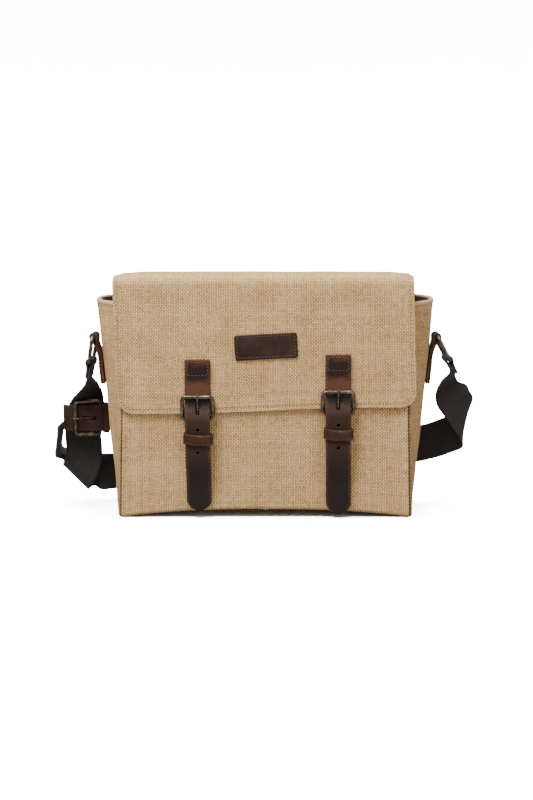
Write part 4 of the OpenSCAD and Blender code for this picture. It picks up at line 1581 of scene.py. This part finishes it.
def build_stage():
    """The white floor, a bowl that has lamps of its own, and the lamps on the bag."""
    white = floor_look("pale_floor", 3, (0.0, (250, 250, 250)), (1.0, (255, 255, 255)))
    rows = []
    for k in range(49):
        t = k / 48
        if t < 0.4:
            r, z = mix(4, FLOOR_R, t / 0.4), 0.0
        elif t < 0.7:
            a = (t - 0.4) / 0.3 * math.pi / 2
            r, z = FLOOR_R + BOWL_R * math.sin(a), BOWL_R - BOWL_R * math.cos(a)
        else:
            r, z = FLOOR_R + BOWL_R, mix(BOWL_R, BOWL_TOP, (t - 0.7) / 0.3)
        turns = [math.radians(5 * j) for j in range(73)]
        rows.append([Vector((r * math.cos(turn), r * math.sin(turn), z)) for turn in turns])
    uv_rows = [[(p.x, p.y + p.z) for p in row] for row in rows]
    sweep = grid_object("floor_sweep", rows, uv_rows, white, crease=180)
    sweep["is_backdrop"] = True
    world = bpy.context.scene.world or bpy.data.worlds.new("studio")
    bpy.context.scene.world = world
    world.use_nodes = True
    sky = world.node_tree.nodes["Background"]
    sky.inputs["Color"].default_value = (1.0, 1.0, 1.0, 1)
    sky.inputs["Strength"].default_value = SKY_POWER
    sweep.visible_diffuse = False
    sweep.visible_glossy = False
    sweep.visible_shadow = False
    build_bounce()
    wash = bpy.data.collections.new("stage_only")
    wash.objects.link(sweep)
    lamp("key", (-520, -800, 1500), 0.8, 48)
    lamp("fill", (900, -1300, 700), 1.2, 6)
    lamp("top", (0, 250, 1700), 1.0, 28)
    wash_top = lamp("wash_top", (0, -300, 2600), 3.2, 1500)
    wash_back = lamp("wash_back", (0, 600, 2200), 3.0, 900)
    for light in (wash_top, wash_back):
        light.light_linking.receiver_collection = wash


def build_bounce():
    """Grey floor under the white one: it gives the bag its bounced light and the dark under it."""
    grey = floor_look("grey_floor", 4, (0.3, (150, 150, 150)), (0.7, (158, 158, 158)))
    rows = [[Vector((x, y, -0.5)) for x in (-2500, 0, 2500)] for y in (-2500, 0, 2500)]
    uv_rows = [[(p.x, p.y) for p in row] for row in rows]
    bounce = grid_object("floor_bounce", rows, uv_rows, grey, crease=180)
    bounce.visible_camera = False
    bounce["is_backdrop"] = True


def lamp(name, place, size, power):
    data = bpy.data.lights.new(name, "AREA")
    data.shape = "SQUARE"
    data.size = size
    data.energy = power
    obj = add(name, data)
    obj.location = Vector(place) * MM
    aim = Vector((0, 0, 110)) * MM - obj.location
    obj.rotation_euler = aim.to_track_quat("-Z", "Y").to_euler()
    obj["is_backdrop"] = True
    return obj


LENS = 67.9
CAMERA_TILT = 7
CAMERA_TARGET = (1.2, -47, 118.9)
CAMERA_REACH = 1.5


def build_camera():
    data = bpy.data.cameras.new("camera")
    data.lens = LENS
    data.sensor_width = 36
    data.clip_end = 50
    camera = add("camera", data)
    tilt = math.radians(CAMERA_TILT)
    target = Vector(CAMERA_TARGET) * MM
    camera.location = target + Vector((0, -math.cos(tilt), math.sin(tilt))) * CAMERA_REACH
    camera.rotation_euler = (target - camera.location).to_track_quat("-Z", "Y").to_euler()
    bpy.context.scene.camera = camera


def plain(value):
    """The same value made only of lists and numbers."""
    if isinstance(value, dict):
        return {key: plain(part) for key, part in value.items()}
    if hasattr(value, "__len__") and not isinstance(value, str):
        return [plain(part) for part in value]
    return float(value)


build_body()
build_board()
build_binding()
build_flap()
build_patch()
for side in SIDES:
    build_strap(side)
    build_chape(side)
    build_keeper(side)
    build_closure_prong(side)
    build_tab(side)
    build_webbing_end(side)
build_webbing()
build_shoulder_buckle()
build_hardware()
build_stage()
build_camera()
sizes = {"cad": cad_bounds, "visual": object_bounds()}
plain(sizes)
